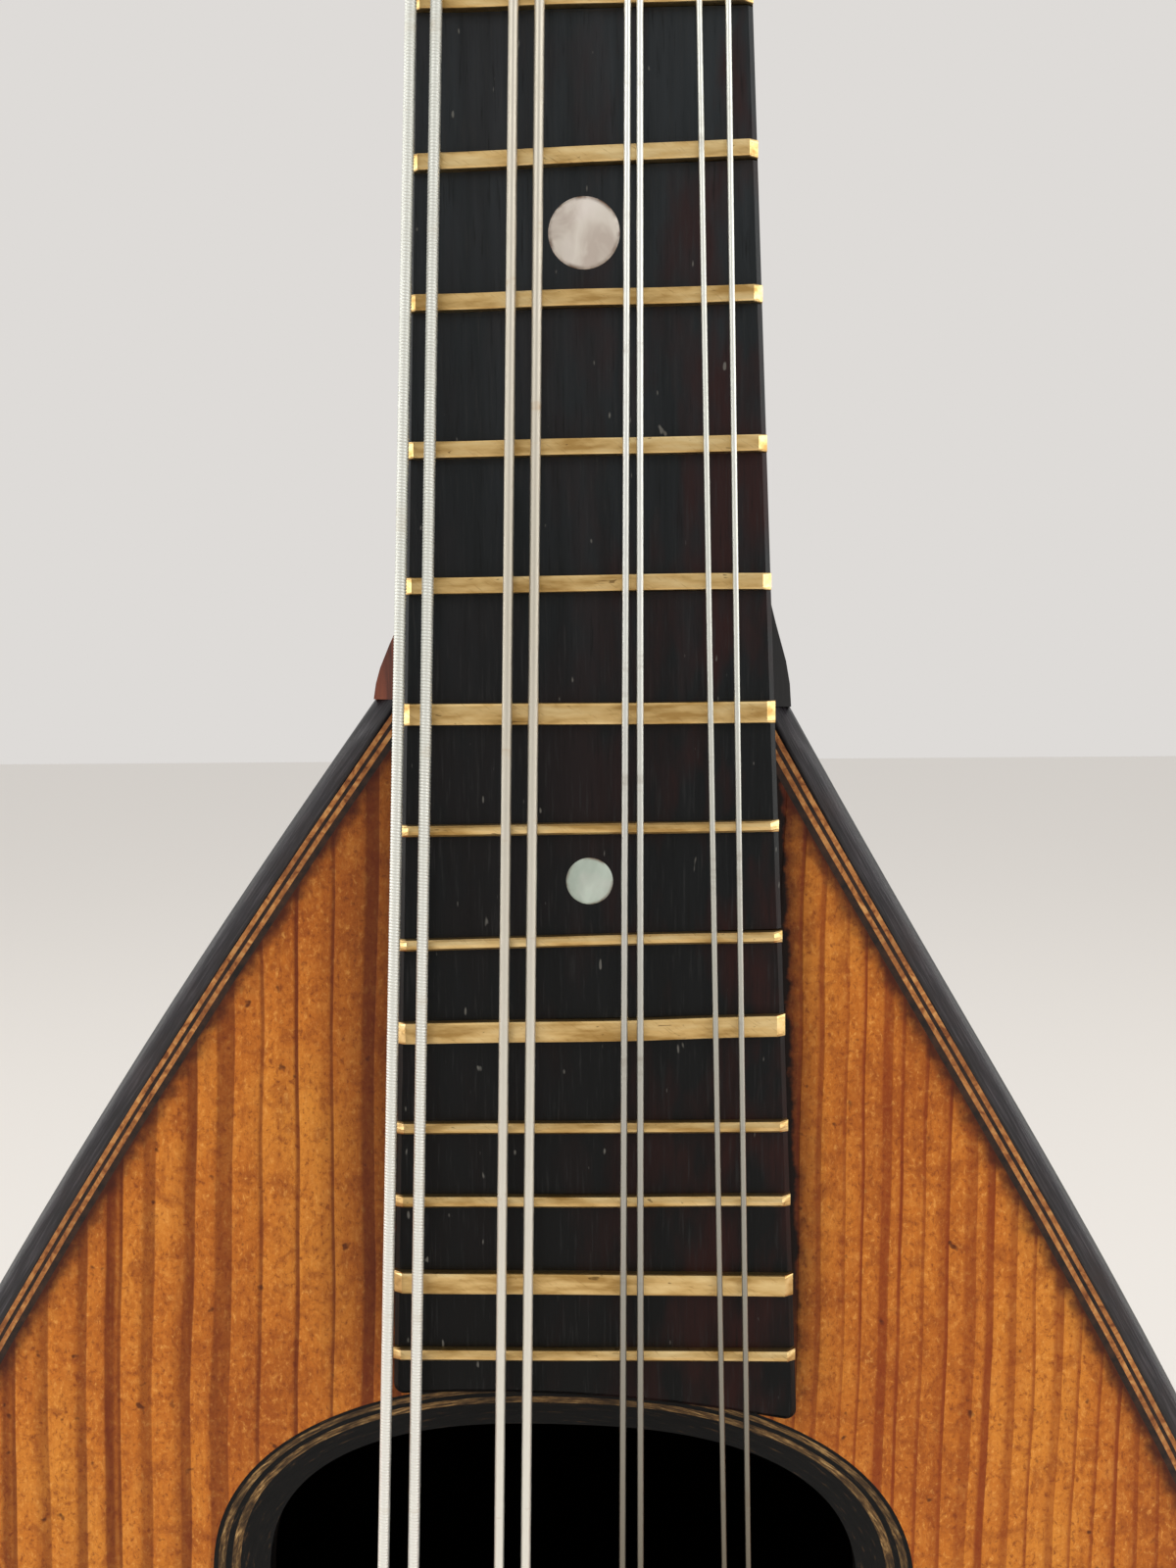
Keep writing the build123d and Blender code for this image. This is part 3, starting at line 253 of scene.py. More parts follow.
def ring_faces(rings, corners):
    """Faces of a closed bar whose points stand in rings along it."""
    index = np.arange(rings * corners).reshape(rings, corners)
    turned = np.roll(index, -1, axis=1)
    quads = np.stack([index[:-1], turned[:-1], turned[1:], index[1:]], axis=-1)
    return quads.reshape(-1, 4).tolist() + [index[0].tolist()[::-1], index[-1].tolist()]


def counted_from(first, faces):
    """The same faces for points that are numbered from first."""
    return [[first + corner for corner in face] for face in faces]


def half_width(t):
    """Half the outline's width at a distance t down from the neck joint."""
    run = max(0.0, 1 - t / WIDEST_AT) ** 2
    return WIDEST_HALF - (WIDEST_HALF - JOINT_HALF + JOINT_HOLLOW * (1 - run)) * run


def drift(t):
    """How far the outline's middle leans to the treble side near the neck."""
    return TOP_DRIFT * max(0.0, 1 - t / TOP_DRIFT_RUN) ** 2


def half_depth(t):
    run = max(0.0, 1 - t / WIDEST_AT)
    return DEEPEST - (DEEPEST - JOINT_DEPTH) * run ** DEPTH_POWER


def set_back(t):
    """How far the front has bent back past the fold below the bridge."""
    return max(0.0, t - FOLD_AT) * FOLD_SLOPE


def bowl_stations():
    """Rows down the bowl as distance from the joint, half width and depth."""
    rows = []
    for step in range(FACE_STATIONS):
        t = WIDEST_AT * step / FACE_STATIONS
        rows.append((t, half_width(t), half_depth(t)))
    for step in range(TAIL_STATIONS + 1):
        turn = math.radians(TAIL_TURN * step / TAIL_STATIONS)
        t = WIDEST_AT + (BODY_LENGTH - WIDEST_AT) * math.sin(turn)
        rows.append((t, WIDEST_HALF * math.cos(turn), DEEPEST * math.cos(turn)))
    return rows


def bowl_point(row, turn, proud=0.0):
    """Point of a row, turned from the treble edge round the back to the bass edge."""
    t, width, depth = row
    return Vector((drift(t) + (width + proud) * math.cos(turn),
                   BOARD_EDGE + set_back(t) + (depth + proud) * math.sin(turn), -t))


def stave_wood(name, heart, streak, pale):
    """Rosewood under varnish, streaked along the stave."""
    wood = Finish(name, Roughness=0.34, Coat_Weight=0.5, Coat_Roughness=0.2,
                  Specular_IOR_Level=0.35)
    place = wood.place(JOINT_AT, JOINT_TURN)
    stave = wood.mark("stave")
    shift = wood.add("CombineXYZ", [wood.calc("MULTIPLY", stave, STAVE_SHIFT), 0.0, 0.0])
    own = wood.add("VectorMath", [place, shift], operation="ADD")
    bands = wood.grain(own, (0.35, 0.35, 0.012), 4.0, 0.6, 0.4)
    lines = wood.grain(own, (2.6, 2.6, 0.05), 3.0, 0.6)
    colour = wood.blend(wood.ramp(bands, (0.36, 0.0), (0.6, 1.0)), heart, streak)
    colour = wood.blend(wood.ramp(lines, (0.5, 0.0), (0.75, 0.55)), colour, streak)
    tone = wood.add("TexWhiteNoise", {"W": stave}, noise_dimensions="1D")
    colour = wood.blend(wood.ramp(tone, (0.0, 0.0), (1.0, 0.35)), colour, pale)
    wood.feed(Base_Color=colour)
    wood.bump(lines, 0.02)
    return wood


stave_finish = stave_wood("varnished_staves", tint(118, 62, 38), tint(58, 27, 18),
                          tint(150, 88, 52))
stations = bowl_stations()
stave_points, stave_faces, stave_numbers = [], [], []
for stave in range(STAVES):
    seams = [math.pi * (stave + end) / STAVES for end in (0, 1)]
    stave_faces += counted_from(len(stave_points), strip_faces(len(stations), len(STAVE_STEPS)))
    for row in stations:
        t, width, _ = row
        edges = [bowl_point(row, turn) for turn in seams]
        outward = (edges[0] + edges[1]) / 2 - Vector((drift(t), bowl_point(row, 0).y, -t))
        outward.z = 0
        outward = outward.normalized() if outward.length > 0 else outward
        for step in STAVE_STEPS:
            round_share = 4 * step * (1 - step) * min(1.0, width / CROWN_FULL_FROM)
            stave_points.append(edges[0].lerp(edges[1], step) + outward * STAVE_CROWN * round_share)
            stave_numbers.append(stave + 0.5)
bowl = new_piece("bowl_staves", stave_points, stave_faces, stave_finish, at=body_frame)
mark_points(bowl, "stave", stave_numbers)
# Inside of the staves: dark old wood, darkened further as painted shade inside the bowl.
bowl_inside = Finish("bowl_inside_painted_shade", Base_Color=tint(26, 18, 13), Roughness=0.9,
                     Specular_IOR_Level=0.1)
bowl.data.materials.append(bowl_inside.material)
wall = bowl.modifiers.new("wall", "SOLIDIFY")
wall.thickness = STAVE_THICKNESS * MM
wall.offset = -1
wall.material_offset = 1
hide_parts("bowl_ribs")

seam_finish = Finish("seam_strips", Roughness=0.35, Coat_Weight=0.6, Coat_Roughness=0.12)
ageing = seam_finish.noise(seam_finish.place(), 0.4)
seam_finish.feed(Base_Color=seam_finish.ramp(ageing, (0.3, tint(150, 110, 66)),
                                             (0.7, tint(190, 150, 100))))
seam_points, seam_faces = [], []
for seam in range(1, STAVES):
    turn = math.pi * seam / STAVES
    seam_faces += counted_from(len(seam_points), ring_faces(len(stations), len(SEAM_PROFILE)))
    for row in stations:
        middle = bowl_point(row, turn, SEAM_PROUD)
        along = (bowl_point(row, turn + 0.01) - bowl_point(row, turn - 0.01)).normalized()
        inward = -(bowl_point(row, turn, 1.0) - bowl_point(row, turn)).normalized()
        thin = SEAM_HALF * min(1.0, row[1] / SEAM_FULL_FROM)
        seam_points += [middle + along * thin * side + inward * deep for side, deep in SEAM_PROFILE]
seam_strips = new_piece("seam_strips", seam_points, seam_faces, seam_finish, smooth=False,
                        at=body_frame)

# ---------------------------------------------------------------- blocks, braces and linings
# Plain softwood inside the bowl: a block at each end, three bars across the front and a
# strip along the rim. Bare, dark with age and dust, and darker still as painted shade inside the
# bowl.
inside_finish = Finish("bare_inside_wood", Roughness=0.9, Specular_IOR_Level=0.15)
place = inside_finish.place()
grain = inside_finish.grain(place, (0.9, 0.9, 0.06), 4.0)
dust = inside_finish.noise(place, 0.12, 3.0)
# Colours darker than the bare wood: age and dust, with painted shade inside the bowl.
colour = inside_finish.ramp(grain, (0.35, tint(34, 24, 16)), (0.7, tint(56, 41, 28)))
colour = inside_finish.blend(inside_finish.ramp(dust, (0.45, 0.0), (0.7, 0.5)), colour,
                             tint(46, 38, 31))
inside_finish.feed(Base_Color=colour)
inside_finish.bump(grain, 0.05)
dress(inside_finish, "end_blocks", "braces", "linings")

# ---------------------------------------------------------------- soundboard
# Two pieces of spruce, wide-ringed on the bass side and finer on the treble side, under an
# old orange-brown varnish that has gone dark along the edging and beside the fretboard, with a
# black line of dirt and painted shadow right against the board. The wall of the sound hole is
# coloured black, and the underside near-black as painted shade inside the bowl.
BASS_RING_RATE = 0.285
TREBLE_RING_RATE = 0.48
HOLE_CENTRE = 85.8
HOLE_OFFSET = 0.45
STAIN_HALF_WIDTH = 33.7
STAIN_HALF_HEIGHT = 19.5
STAIN_POWER = 2.25
NUT_Z = -8.5
BOARD_HALF_AT_NUT = 12.55
BOARD_HALF_GROWTH = 0.0303
OUTLINE_ASLANT = 0.85
TAIL_REACH = 105.0
OUT_OF_REACH = 1000.0
RING_SWAY = 2.4
RING_UNEVEN = 0.5
UNDERSIDE = 2.3
STAIN_SPAN = 10.0
BOARD_SPAN = 300.0


def edge_distance(wood, place):
    """Distance in from the body's outline, near enough for a stain."""
    x, _, z = wood.split(place)
    down = wood.calc("MULTIPLY", z, -1.0)
    lean = wood.calc("SUBTRACT", 1.0, wood.calc("DIVIDE", down, TOP_DRIFT_RUN))
    lean = wood.calc("MAXIMUM", lean, 0.0)
    lean = wood.calc("MULTIPLY", wood.calc("MULTIPLY", lean, lean), TOP_DRIFT)
    far = wood.calc("ABSOLUTE", wood.calc("SUBTRACT", x, lean))
    run = wood.calc("SUBTRACT", 1.0, wood.calc("DIVIDE", down, WIDEST_AT))
    run = wood.calc("MAXIMUM", run, 0.0)
    run = wood.calc("MULTIPLY", run, run)
    span = wood.calc("SUBTRACT", WIDEST_HALF - JOINT_HALF + JOINT_HOLLOW,
                     wood.calc("MULTIPLY", run, JOINT_HOLLOW))
    half = wood.calc("SUBTRACT", WIDEST_HALF, wood.calc("MULTIPLY", run, span))
    upper = wood.calc("MULTIPLY", wood.calc("SUBTRACT", half, far), OUTLINE_ASLANT)
    below = wood.calc("MAXIMUM", wood.calc("SUBTRACT", down, WIDEST_AT), 0.0)
    part = wood.calc("DIVIDE", below, BODY_LENGTH - WIDEST_AT)
    across_part = wood.calc("DIVIDE", far, WIDEST_HALF)
    reach = wood.calc("SQRT", wood.calc("ADD", wood.calc("MULTIPLY", part, part),
                                        wood.calc("MULTIPLY", across_part, across_part)))
    lower = wood.calc("MULTIPLY", wood.calc("SUBTRACT", 1.0, reach), TAIL_REACH)
    above_widest = wood.calc("MULTIPLY", wood.calc("LESS_THAN", down, WIDEST_AT), OUT_OF_REACH)
    return wood.calc("MINIMUM", upper, wood.calc("ADD", lower, above_widest))


def growth_lines(wood, place):
    """Share of dark late wood: a line at the end of each year's ring, some strong, some faint."""
    x, _, _ = wood.split(place)
    sway = wood.grain(place, (0.05, 0.0, 0.02), 2.0)
    sway = wood.calc("MULTIPLY", wood.calc("SUBTRACT", sway, 0.5), RING_SWAY)
    swayed = wood.calc("ADD", x, sway)
    uneven = wood.add("TexNoise", {"W": wood.calc("MULTIPLY", swayed, 0.17), "Detail": 0.0},
                      noise_dimensions="1D")
    bass = wood.calc("MULTIPLY", wood.calc("MINIMUM", swayed, 0.0), BASS_RING_RATE)
    treble = wood.calc("MULTIPLY", wood.calc("MAXIMUM", swayed, 0.0), TREBLE_RING_RATE)
    count = wood.calc("ADD", wood.calc("ADD", bass, treble),
                      wood.calc("MULTIPLY", uneven, RING_UNEVEN))
    line = wood.ramp(wood.calc("FRACT", count), (0.0, 0.55), (0.02, 0.12), (0.06, 0.0),
                     (0.45, 0.08), (0.68, 0.25), (0.77, 0.55), (0.84, 0.95), (0.96, 1.0),
                     (1.0, 0.75))
    own = wood.add("TexWhiteNoise", {"W": wood.calc("FLOOR", count)}, noise_dimensions="1D")
    own = wood.calc("ADD", wood.calc("MULTIPLY", own, 0.4), 0.6)
    fade = wood.ramp(wood.grain(place, (0.5, 0.5, 0.05), 3.0), (0.3, 0.65), (0.55, 1.0))
    return wood.calc("MULTIPLY", wood.calc("MULTIPLY", line, own), fade)


def below_nut(finish, length=1.0):
    """Distance down from the nut, as a share of a length."""
    _, _, z = finish.split(finish.place())
    return finish.calc("DIVIDE", finish.calc("SUBTRACT", NUT_Z, z), length)


def stain_by_board(wood, bass_side, ragged):
    """Shares of brown varnish and of a black line, real soiling and painted shadow, in the corner
    along the fretboard.
    """
    across, _, _ = wood.split(wood.place())
    half = wood.calc("MULTIPLY", below_nut(wood), BOARD_HALF_GROWTH)
    half = wood.calc("ADD", half, BOARD_HALF_AT_NUT)
    beside = wood.calc("SUBTRACT", wood.calc("ABSOLUTE", across), half)
    beside = wood.calc("DIVIDE", wood.calc("ADD", beside, ragged), STAIN_SPAN)
    above_hole = wood.ramp(below_nut(wood, BOARD_SPAN), (0.66, 1.0), (0.72, 0.0))
    bass = wood.ramp(beside, (0.03, 0.95), (0.15, 0.6), (0.35, 0.42), (0.7, 0.16), (1.0, 0.0))
    treble = wood.ramp(beside, (0.04, 1.0), (0.12, 0.8), (0.2, 0.4), (0.42, 0.0))
    treble_side = wood.calc("SUBTRACT", 1.0, bass_side)
    varnish = wood.calc("ADD", wood.calc("MULTIPLY", bass, bass_side),
                        wood.calc("MULTIPLY", treble, treble_side))
    # Black line right against the board's edge: dirt and painted shadow of the fretboard.
    dirt_and_painted_shadow = wood.ramp(beside, (0.07, 0.95), (0.11, 0.0))
    return wood.calc("MULTIPLY", varnish, above_hole), wood.calc("MULTIPLY", dirt_and_painted_shadow, above_hole)


def hole_wall_and_painted_shade_underside(wood, place):
    """1 on the wall of the hole and on the underside, which is coloured near-black as painted shade
    inside the bowl; 0 on the front.
    """
    x, y, z = wood.split(place)
    across = wood.calc("DIVIDE", wood.calc("ABSOLUTE", wood.calc("SUBTRACT", x, HOLE_OFFSET)),
                       STAIN_HALF_WIDTH)
    up = wood.calc("DIVIDE", wood.calc("ABSOLUTE", wood.calc("ADD", z, HOLE_CENTRE)),
                   STAIN_HALF_HEIGHT)
    in_hole = wood.calc("LESS_THAN", wood.calc("ADD", wood.calc("POWER", across, STAIN_POWER),
                                               wood.calc("POWER", up, STAIN_POWER)), 1.0)
    past_fold = wood.calc("SUBTRACT", wood.calc("MULTIPLY", z, -1.0), FOLD_AT)
    past_fold = wood.calc("MAXIMUM", past_fold, 0.0)
    deep = wood.calc("SUBTRACT", y, wood.calc("MULTIPLY", past_fold, FOLD_SLOPE))
    return wood.calc("MAXIMUM", in_hole, wood.calc("GREATER_THAN", deep, UNDERSIDE))


spruce = Finish("varnished_spruce", Coat_Weight=0.08, Coat_Roughness=0.3, Specular_IOR_Level=0.12)
place = spruce.place(JOINT_AT, JOINT_TURN)
line = growth_lines(spruce, place)
clouds = spruce.noise(spruce.stretch(place, 1.0, 1.0, 0.45), 0.075, 4.0, 0.6)
mottle = spruce.noise(place, 0.42, 4.0, 0.65, 0.6)
flecks = spruce.noise(spruce.stretch(place, 1.0, 1.0, 0.7), 2.0, 5.0, 0.75, 0.4)
silk = spruce.grain(place, (2.4, 2.4, 0.10), 3.0, 0.6)
colour = spruce.ramp(clouds, (0.32, tint(166, 88, 28)), (0.5, tint(194, 112, 37)),
                     (0.68, tint(214, 136, 50)))
for pattern, stops, shade in (
        (mottle, ((0.36, 0.55), (0.5, 0.0)), tint(142, 70, 24)),
        (mottle, ((0.54, 0.0), (0.7, 0.45)), tint(222, 148, 66)),
        (flecks, ((0.34, 0.8), (0.47, 0.0)), tint(122, 58, 22)),
        (flecks, ((0.54, 0.0), (0.68, 0.65)), tint(238, 168, 84)),
        (silk, ((0.45, 0.0), (0.75, 0.25)), tint(146, 72, 28))):
    colour = spruce.blend(spruce.ramp(pattern, *stops), colour, shade)
bass_side = spruce.calc("LESS_THAN", spruce.split(place)[0], 0.0)
line_colour = spruce.blend(bass_side, tint(122, 44, 14), tint(92, 30, 10))
colour = spruce.blend(spruce.calc("MULTIPLY", line, 0.93), colour, line_colour)
marks = spruce.noise(place, 0.6, 2.0, 0.5)
colour = spruce.blend(spruce.ramp(marks, (0.68, 0.0), (0.74, 0.8)), colour, tint(66, 26, 14))
ragged = spruce.calc("SUBTRACT", spruce.noise(place, 0.6, 3.0), 0.5)
ragged = spruce.calc("MULTIPLY", ragged, 2.0)
inset = spruce.calc("ADD", edge_distance(spruce, place), ragged)
inset = spruce.calc("DIVIDE", inset, STAIN_SPAN)
edge_stain = spruce.ramp(inset, (0.42, 0.96), (0.47, 0.7), (0.54, 0.2), (0.68, 0.0))
colour = spruce.blend(edge_stain, colour, tint(62, 24, 12))
varnish, dirt_and_painted_shadow = stain_by_board(spruce, bass_side, ragged)
colour = spruce.blend(varnish, colour, tint(74, 26, 11))
# Black line beside the fretboard: dirt and painted shadow.
colour = spruce.blend(dirt_and_painted_shadow, colour, tint(14, 8, 6))
# Hole wall coloured black, and the underside near-black: painted shade inside the bowl.
colour = spruce.blend(hole_wall_and_painted_shade_underside(spruce, place), colour, tint(16, 12, 10))
spruce.feed(Base_Color=colour, Roughness=spruce.ramp(clouds, (0.3, 0.4), (0.7, 0.52)))
relief = spruce.calc("ADD", spruce.calc("MULTIPLY", flecks, 0.8),
                     spruce.calc("MULTIPLY", line, -0.7))
spruce.bump(relief, 0.06, coat=True)
dress(spruce, "soundboard")

# ---------------------------------------------------------------- edge binding
# A strip of dark stained wood along the whole edge of the front, glued on and rounded
# over on the outside. Handling has worn it grey and smooth. Both its edges are painted
# darker: painted shade.
BINDING_WIDTH = 2.25
BINDING_PROFILE = ((2.25, 0.0), (1.75, -0.02), (1.25, 0.0), (0.85, 0.08), (0.5, 0.26),
                   (0.24, 0.52), (0.07, 0.88), (0.0, 1.3), (0.0, 2.5), (2.25, 2.5))
BINDING_STEPS = 90
BINDING_RUN = 400.0
TOP_LEAN = 0.52
SLOPE_STEP = 0.1


def outline_place(share, inset):
    """Point of the outline moved inwards, down the treble side as share goes from 0 to 1."""
    if share < 0.5:
        t = 2 * share * WIDEST_AT - TOP_LEAN * inset * (1 - 2 * share)
        slope = (half_width(t + SLOPE_STEP) - half_width(t - SLOPE_STEP)) / (2 * SLOPE_STEP)
        length = math.hypot(1, slope)
        return half_width(t) - inset / length, t + inset * slope / length
    turn = math.pi * (share - 0.5)
    radius = BODY_LENGTH - WIDEST_AT
    nx, nt = math.cos(turn) / WIDEST_HALF, math.sin(turn) / radius
    length = math.hypot(nx, nt)
    return (WIDEST_HALF * math.cos(turn) - inset * nx / length,
            WIDEST_AT + radius * math.sin(turn) - inset * nt / length)


binding_finish = Finish("worn_dark_binding", Coat_Weight=0.1, Coat_Roughness=0.25,
                        Specular_IOR_Level=0.4)
lane = binding_finish.mark("lane")
along = binding_finish.add("CombineXYZ", [binding_finish.mark("run"), lane, 0.0])
wear = binding_finish.noise(binding_finish.place(JOINT_AT, JOINT_TURN), 0.16, 4.0, 0.6)
grain = binding_finish.grain(along, (0.22, 5.0, 1.0), 4.0, 0.65)
colour = binding_finish.ramp(grain, (0.32, tint(19, 17, 19)), (0.5, tint(35, 32, 36)),
                             (0.7, tint(68, 63, 67)))
colour = binding_finish.blend(binding_finish.ramp(wear, (0.45, 0.0), (0.7, 0.5)), colour,
                              tint(48, 35, 33))
# Both edges of the strip darker: painted shade.
edges = binding_finish.ramp(binding_finish.calc("DIVIDE", lane, 3.0), (0.0, 0.75), (0.16, 0.0),
                            (0.62, 0.0), (0.78, 0.85))
colour = binding_finish.blend(edges, colour, tint(16, 13, 13))
binding_finish.feed(Base_Color=colour,
                    Roughness=binding_finish.ramp(grain, (0.3, 0.46), (0.7, 0.32)))
binding_finish.bump(grain, 0.05)
binding_points, binding_runs, binding_lanes = [], [], []
sides = [(1, step / BINDING_STEPS) for step in range(BINDING_STEPS + 1)]
sides += [(-1, step / BINDING_STEPS) for step in reversed(range(BINDING_STEPS))]
for side, share in sides:
    for inset, drop in BINDING_PROFILE:
        x, t = outline_place(share, inset)
        t = max(0.0, t)
        binding_points.append((drift(t) + side * x, drop + set_back(t), -t))
        binding_runs.append(side * share * BINDING_RUN)
        binding_lanes.append(BINDING_WIDTH - inset + drop)
binding = new_piece("edge_binding_strip", binding_points,
                    ring_faces(len(sides), len(BINDING_PROFILE)), binding_finish, at=body_frame)
mark_points(binding, "run", binding_runs)
mark_points(binding, "lane", binding_lanes)
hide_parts("edge_binding")

# ---------------------------------------------------------------- purfling
# Four inlaid lines inside the binding, pale and black by turns, planed flush with the
# front and varnished over. The pale ones have gone brown in places.
light_inlay = Finish("pale_inlay_lines", Roughness=0.5, Coat_Weight=0.1, Specular_IOR_Level=0.2)
place = light_inlay.place()
threads = light_inlay.noise(place, 1.0, 3.0, 0.6, 0.8)
stains = light_inlay.noise(place, 0.12, 3.0, 0.6)
colour = light_inlay.ramp(threads, (0.32, tint(112, 62, 28)), (0.5, tint(168, 108, 56)),
                          (0.7, tint(200, 146, 86)))
colour = light_inlay.blend(light_inlay.ramp(stains, (0.46, 0.0), (0.68, 0.6)), colour,
                           tint(112, 62, 32))
light_inlay.feed(Base_Color=colour)
light_inlay.bump(threads, 0.03)
dress(light_inlay, "purfling_light")

black_inlay = Finish("black_inlay_lines", Roughness=0.5, Coat_Weight=0.1, Specular_IOR_Level=0.2)
place = black_inlay.place()
soot = black_inlay.noise(place, 0.9, 4.0, 0.6)
black_inlay.feed(Base_Color=black_inlay.ramp(soot, (0.35, tint(22, 16, 13)),
                                             (0.7, tint(58, 36, 24))))
black_inlay.bump(soot, 0.03)
dress(black_inlay, "purfling_dark")

# ---------------------------------------------------------------- rosette
# Rings of black and pale strips let into the front round the oval hole. Plectrums and
# fingers have rubbed them, so the pale rings are patchy and the black ones scratched brown.
RING_RADIUS = 30.0


def ring_place(finish):
    """Place round the sound hole: along the ring, out from its centre and deep."""
    x, y, z = finish.split(finish.place(JOINT_AT, JOINT_TURN))
    x = finish.calc("SUBTRACT", x, HOLE_OFFSET)
    z = finish.calc("MULTIPLY", finish.calc("ADD", z, HOLE_CENTRE),
                    STAIN_HALF_WIDTH / STAIN_HALF_HEIGHT)
    turn = finish.calc("MULTIPLY", finish.calc("ARCTAN2", z, x), RING_RADIUS)
    radius = finish.calc("SQRT", finish.calc("ADD", finish.calc("MULTIPLY", x, x),
                                             finish.calc("MULTIPLY", z, z)))
    return finish.add("CombineXYZ", [turn, radius, y])


rosette_pale = Finish("rubbed_pale_rings", Roughness=0.55, Specular_IOR_Level=0.2)
round_hole = ring_place(rosette_pale)
streaks = rosette_pale.grain(round_hole, (0.45, 3.4, 1.0), 4.0, 0.7)
patches = rosette_pale.noise(rosette_pale.place(), 0.25, 3.0, 0.6)
colour = rosette_pale.ramp(streaks, (0.36, tint(30, 22, 14)), (0.5, tint(104, 76, 44)),
                           (0.62, tint(168, 132, 82)), (0.74, tint(212, 180, 126)))
colour = rosette_pale.blend(rosette_pale.ramp(patches, (0.42, 0.0), (0.6, 0.72)), colour,
                            tint(46, 33, 20))
rosette_pale.feed(Base_Color=colour)
rosette_pale.bump(streaks, 0.08)
dress(rosette_pale, "rosette_light")

rosette_black = Finish("rubbed_black_rings", Roughness=0.5, Specular_IOR_Level=0.15)
round_hole = ring_place(rosette_black)
scrapes = rosette_black.grain(round_hole, (0.3, 2.6, 1.0), 4.0, 0.65)
colour = rosette_black.ramp(scrapes, (0.4, tint(7, 7, 7)), (0.6, tint(17, 16, 15)),
                            (0.74, tint(76, 55, 34)))
rosette_black.feed(Base_Color=colour,
                   Roughness=rosette_black.ramp(scrapes, (0.4, 0.45), (0.7, 0.65)))
rosette_black.bump(scrapes, 0.08)
dress(rosette_black, "rosette_dark")

# ---------------------------------------------------------------- pickguard
# A thin sheet of tortoiseshell let into the front below the hole, polished, with dark
# clouds that run into each other over amber.
guard_finish = Finish("tortoiseshell", Roughness=0.16, Coat_Weight=0.8, Coat_Roughness=0.06)
place = guard_finish.place(JOINT_AT, JOINT_TURN)
blots = guard_finish.noise(guard_finish.stretch(place, 1.0, 1.0, 0.75), 0.075, 4.0, 0.55, 1.4)
rays = guard_finish.noise(place, 0.5, 3.0, 0.6)
colour = guard_finish.ramp(blots, (0.4, tint(24, 10, 7)), (0.5, tint(70, 22, 10)),
                           (0.6, tint(150, 66, 20)))
colour = guard_finish.blend(guard_finish.ramp(rays, (0.5, 0.0), (0.75, 0.4)), colour,
                            tint(40, 14, 8))
guard_finish.feed(Base_Color=colour)
dress(guard_finish, "pickguard")

# ---------------------------------------------------------------- end clasp and head veneer
# A band of ebonised wood that covers the ends of the staves round the tail, and a sheet
# of the same glued on the face of the head. Both are stained black and polished.
ebonised = Finish("ebonised_wood", Roughness=0.3, Coat_Weight=0.4, Coat_Roughness=0.14)
place = ebonised.place()
pores = ebonised.grain(place, (2.2, 2.2, 0.12), 4.0, 0.6)
cloud = ebonised.noise(place, 0.09, 3.0)
colour = ebonised.ramp(pores, (0.4, tint(20, 17, 17)), (0.7, tint(38, 31, 29)))
colour = ebonised.blend(ebonised.ramp(cloud, (0.5, 0.0), (0.75, 0.5)), colour, tint(52, 37, 33))
ebonised.feed(Base_Color=colour)
ebonised.bump(pores, 0.025)
dress(ebonised, "end_clasp", "headstock_veneer")

# ---------------------------------------------------------------- neck
# Neck, heel and head carved from one piece of walnut, varnished red-brown, with dark
# streaks that follow it up. The front of the treble shoulder is painted near-black: painted
# shadow where it meets the body.
neck_finish = Finish("varnished_neck", Roughness=0.32, Coat_Weight=0.4, Coat_Roughness=0.14,
                     Specular_IOR_Level=0.4)
place = neck_finish.place()
figure = neck_finish.grain(place, (0.5, 0.5, 0.02), 4.0, 0.6, 0.7)
pores = neck_finish.grain(place, (4.0, 4.0, 0.16), 2.0)
colour = neck_finish.ramp(figure, (0.34, tint(60, 27, 17)), (0.48, tint(122, 58, 34)),
                          (0.68, tint(164, 90, 54)))
colour = neck_finish.blend(neck_finish.ramp(pores, (0.56, 0.0), (0.7, 0.7)), colour,
                           tint(50, 22, 14))
x, y, z = neck_finish.split(place)
treble = neck_finish.ramp(neck_finish.calc("DIVIDE", x, 100.0), (0.12, 0.0), (0.165, 1.0))
front = neck_finish.ramp(neck_finish.calc("DIVIDE", y, 20.0), (0.0, 1.0), (0.5, 0.0))
shoulder = neck_finish.ramp(neck_finish.calc("DIVIDE", z, -200.0), (0.66, 0.0), (0.71, 1.0))
# Near-black on the front of the treble shoulder: painted shadow beside the body.
painted_shoulder_shadow = neck_finish.calc("MULTIPLY", neck_finish.calc("MULTIPLY", treble, front), shoulder)
colour = neck_finish.blend(painted_shoulder_shadow, colour, tint(9, 7, 7))
neck_finish.feed(Base_Color=colour)
neck_finish.bump(pores, 0.03)
dress(neck_finish, "neck")

# ---------------------------------------------------------------- fretboard
# Black-stained hardwood glued along the neck, its end hollowed to follow the rosette.
# Worn smooth by fingers: fine upright pores show, and red wood where the stain has gone.
# Towards the body it is painted darker: painted shade where the board reflects less light.
board_finish = Finish("worn_fretboard", Coat_Weight=0.03, Coat_Roughness=0.3,
                      Specular_IOR_Level=0.14)
place = board_finish.place()
pores = board_finish.grain(place, (3.4, 3.4, 0.2), 3.0, 0.6)
bands = board_finish.grain(place, (0.7, 0.7, 0.04), 3.0, 0.6)
rubbed = board_finish.grain(place, (0.2, 0.2, 0.07), 3.0, 0.6)
nicks = board_finish.grain(place, (1.6, 1.6, 0.5), 1.0)
down = below_nut(board_finish, BOARD_SPAN)
colour = board_finish.ramp(bands, (0.3, tint(27, 31, 33)), (0.7, tint(41, 45, 48)))
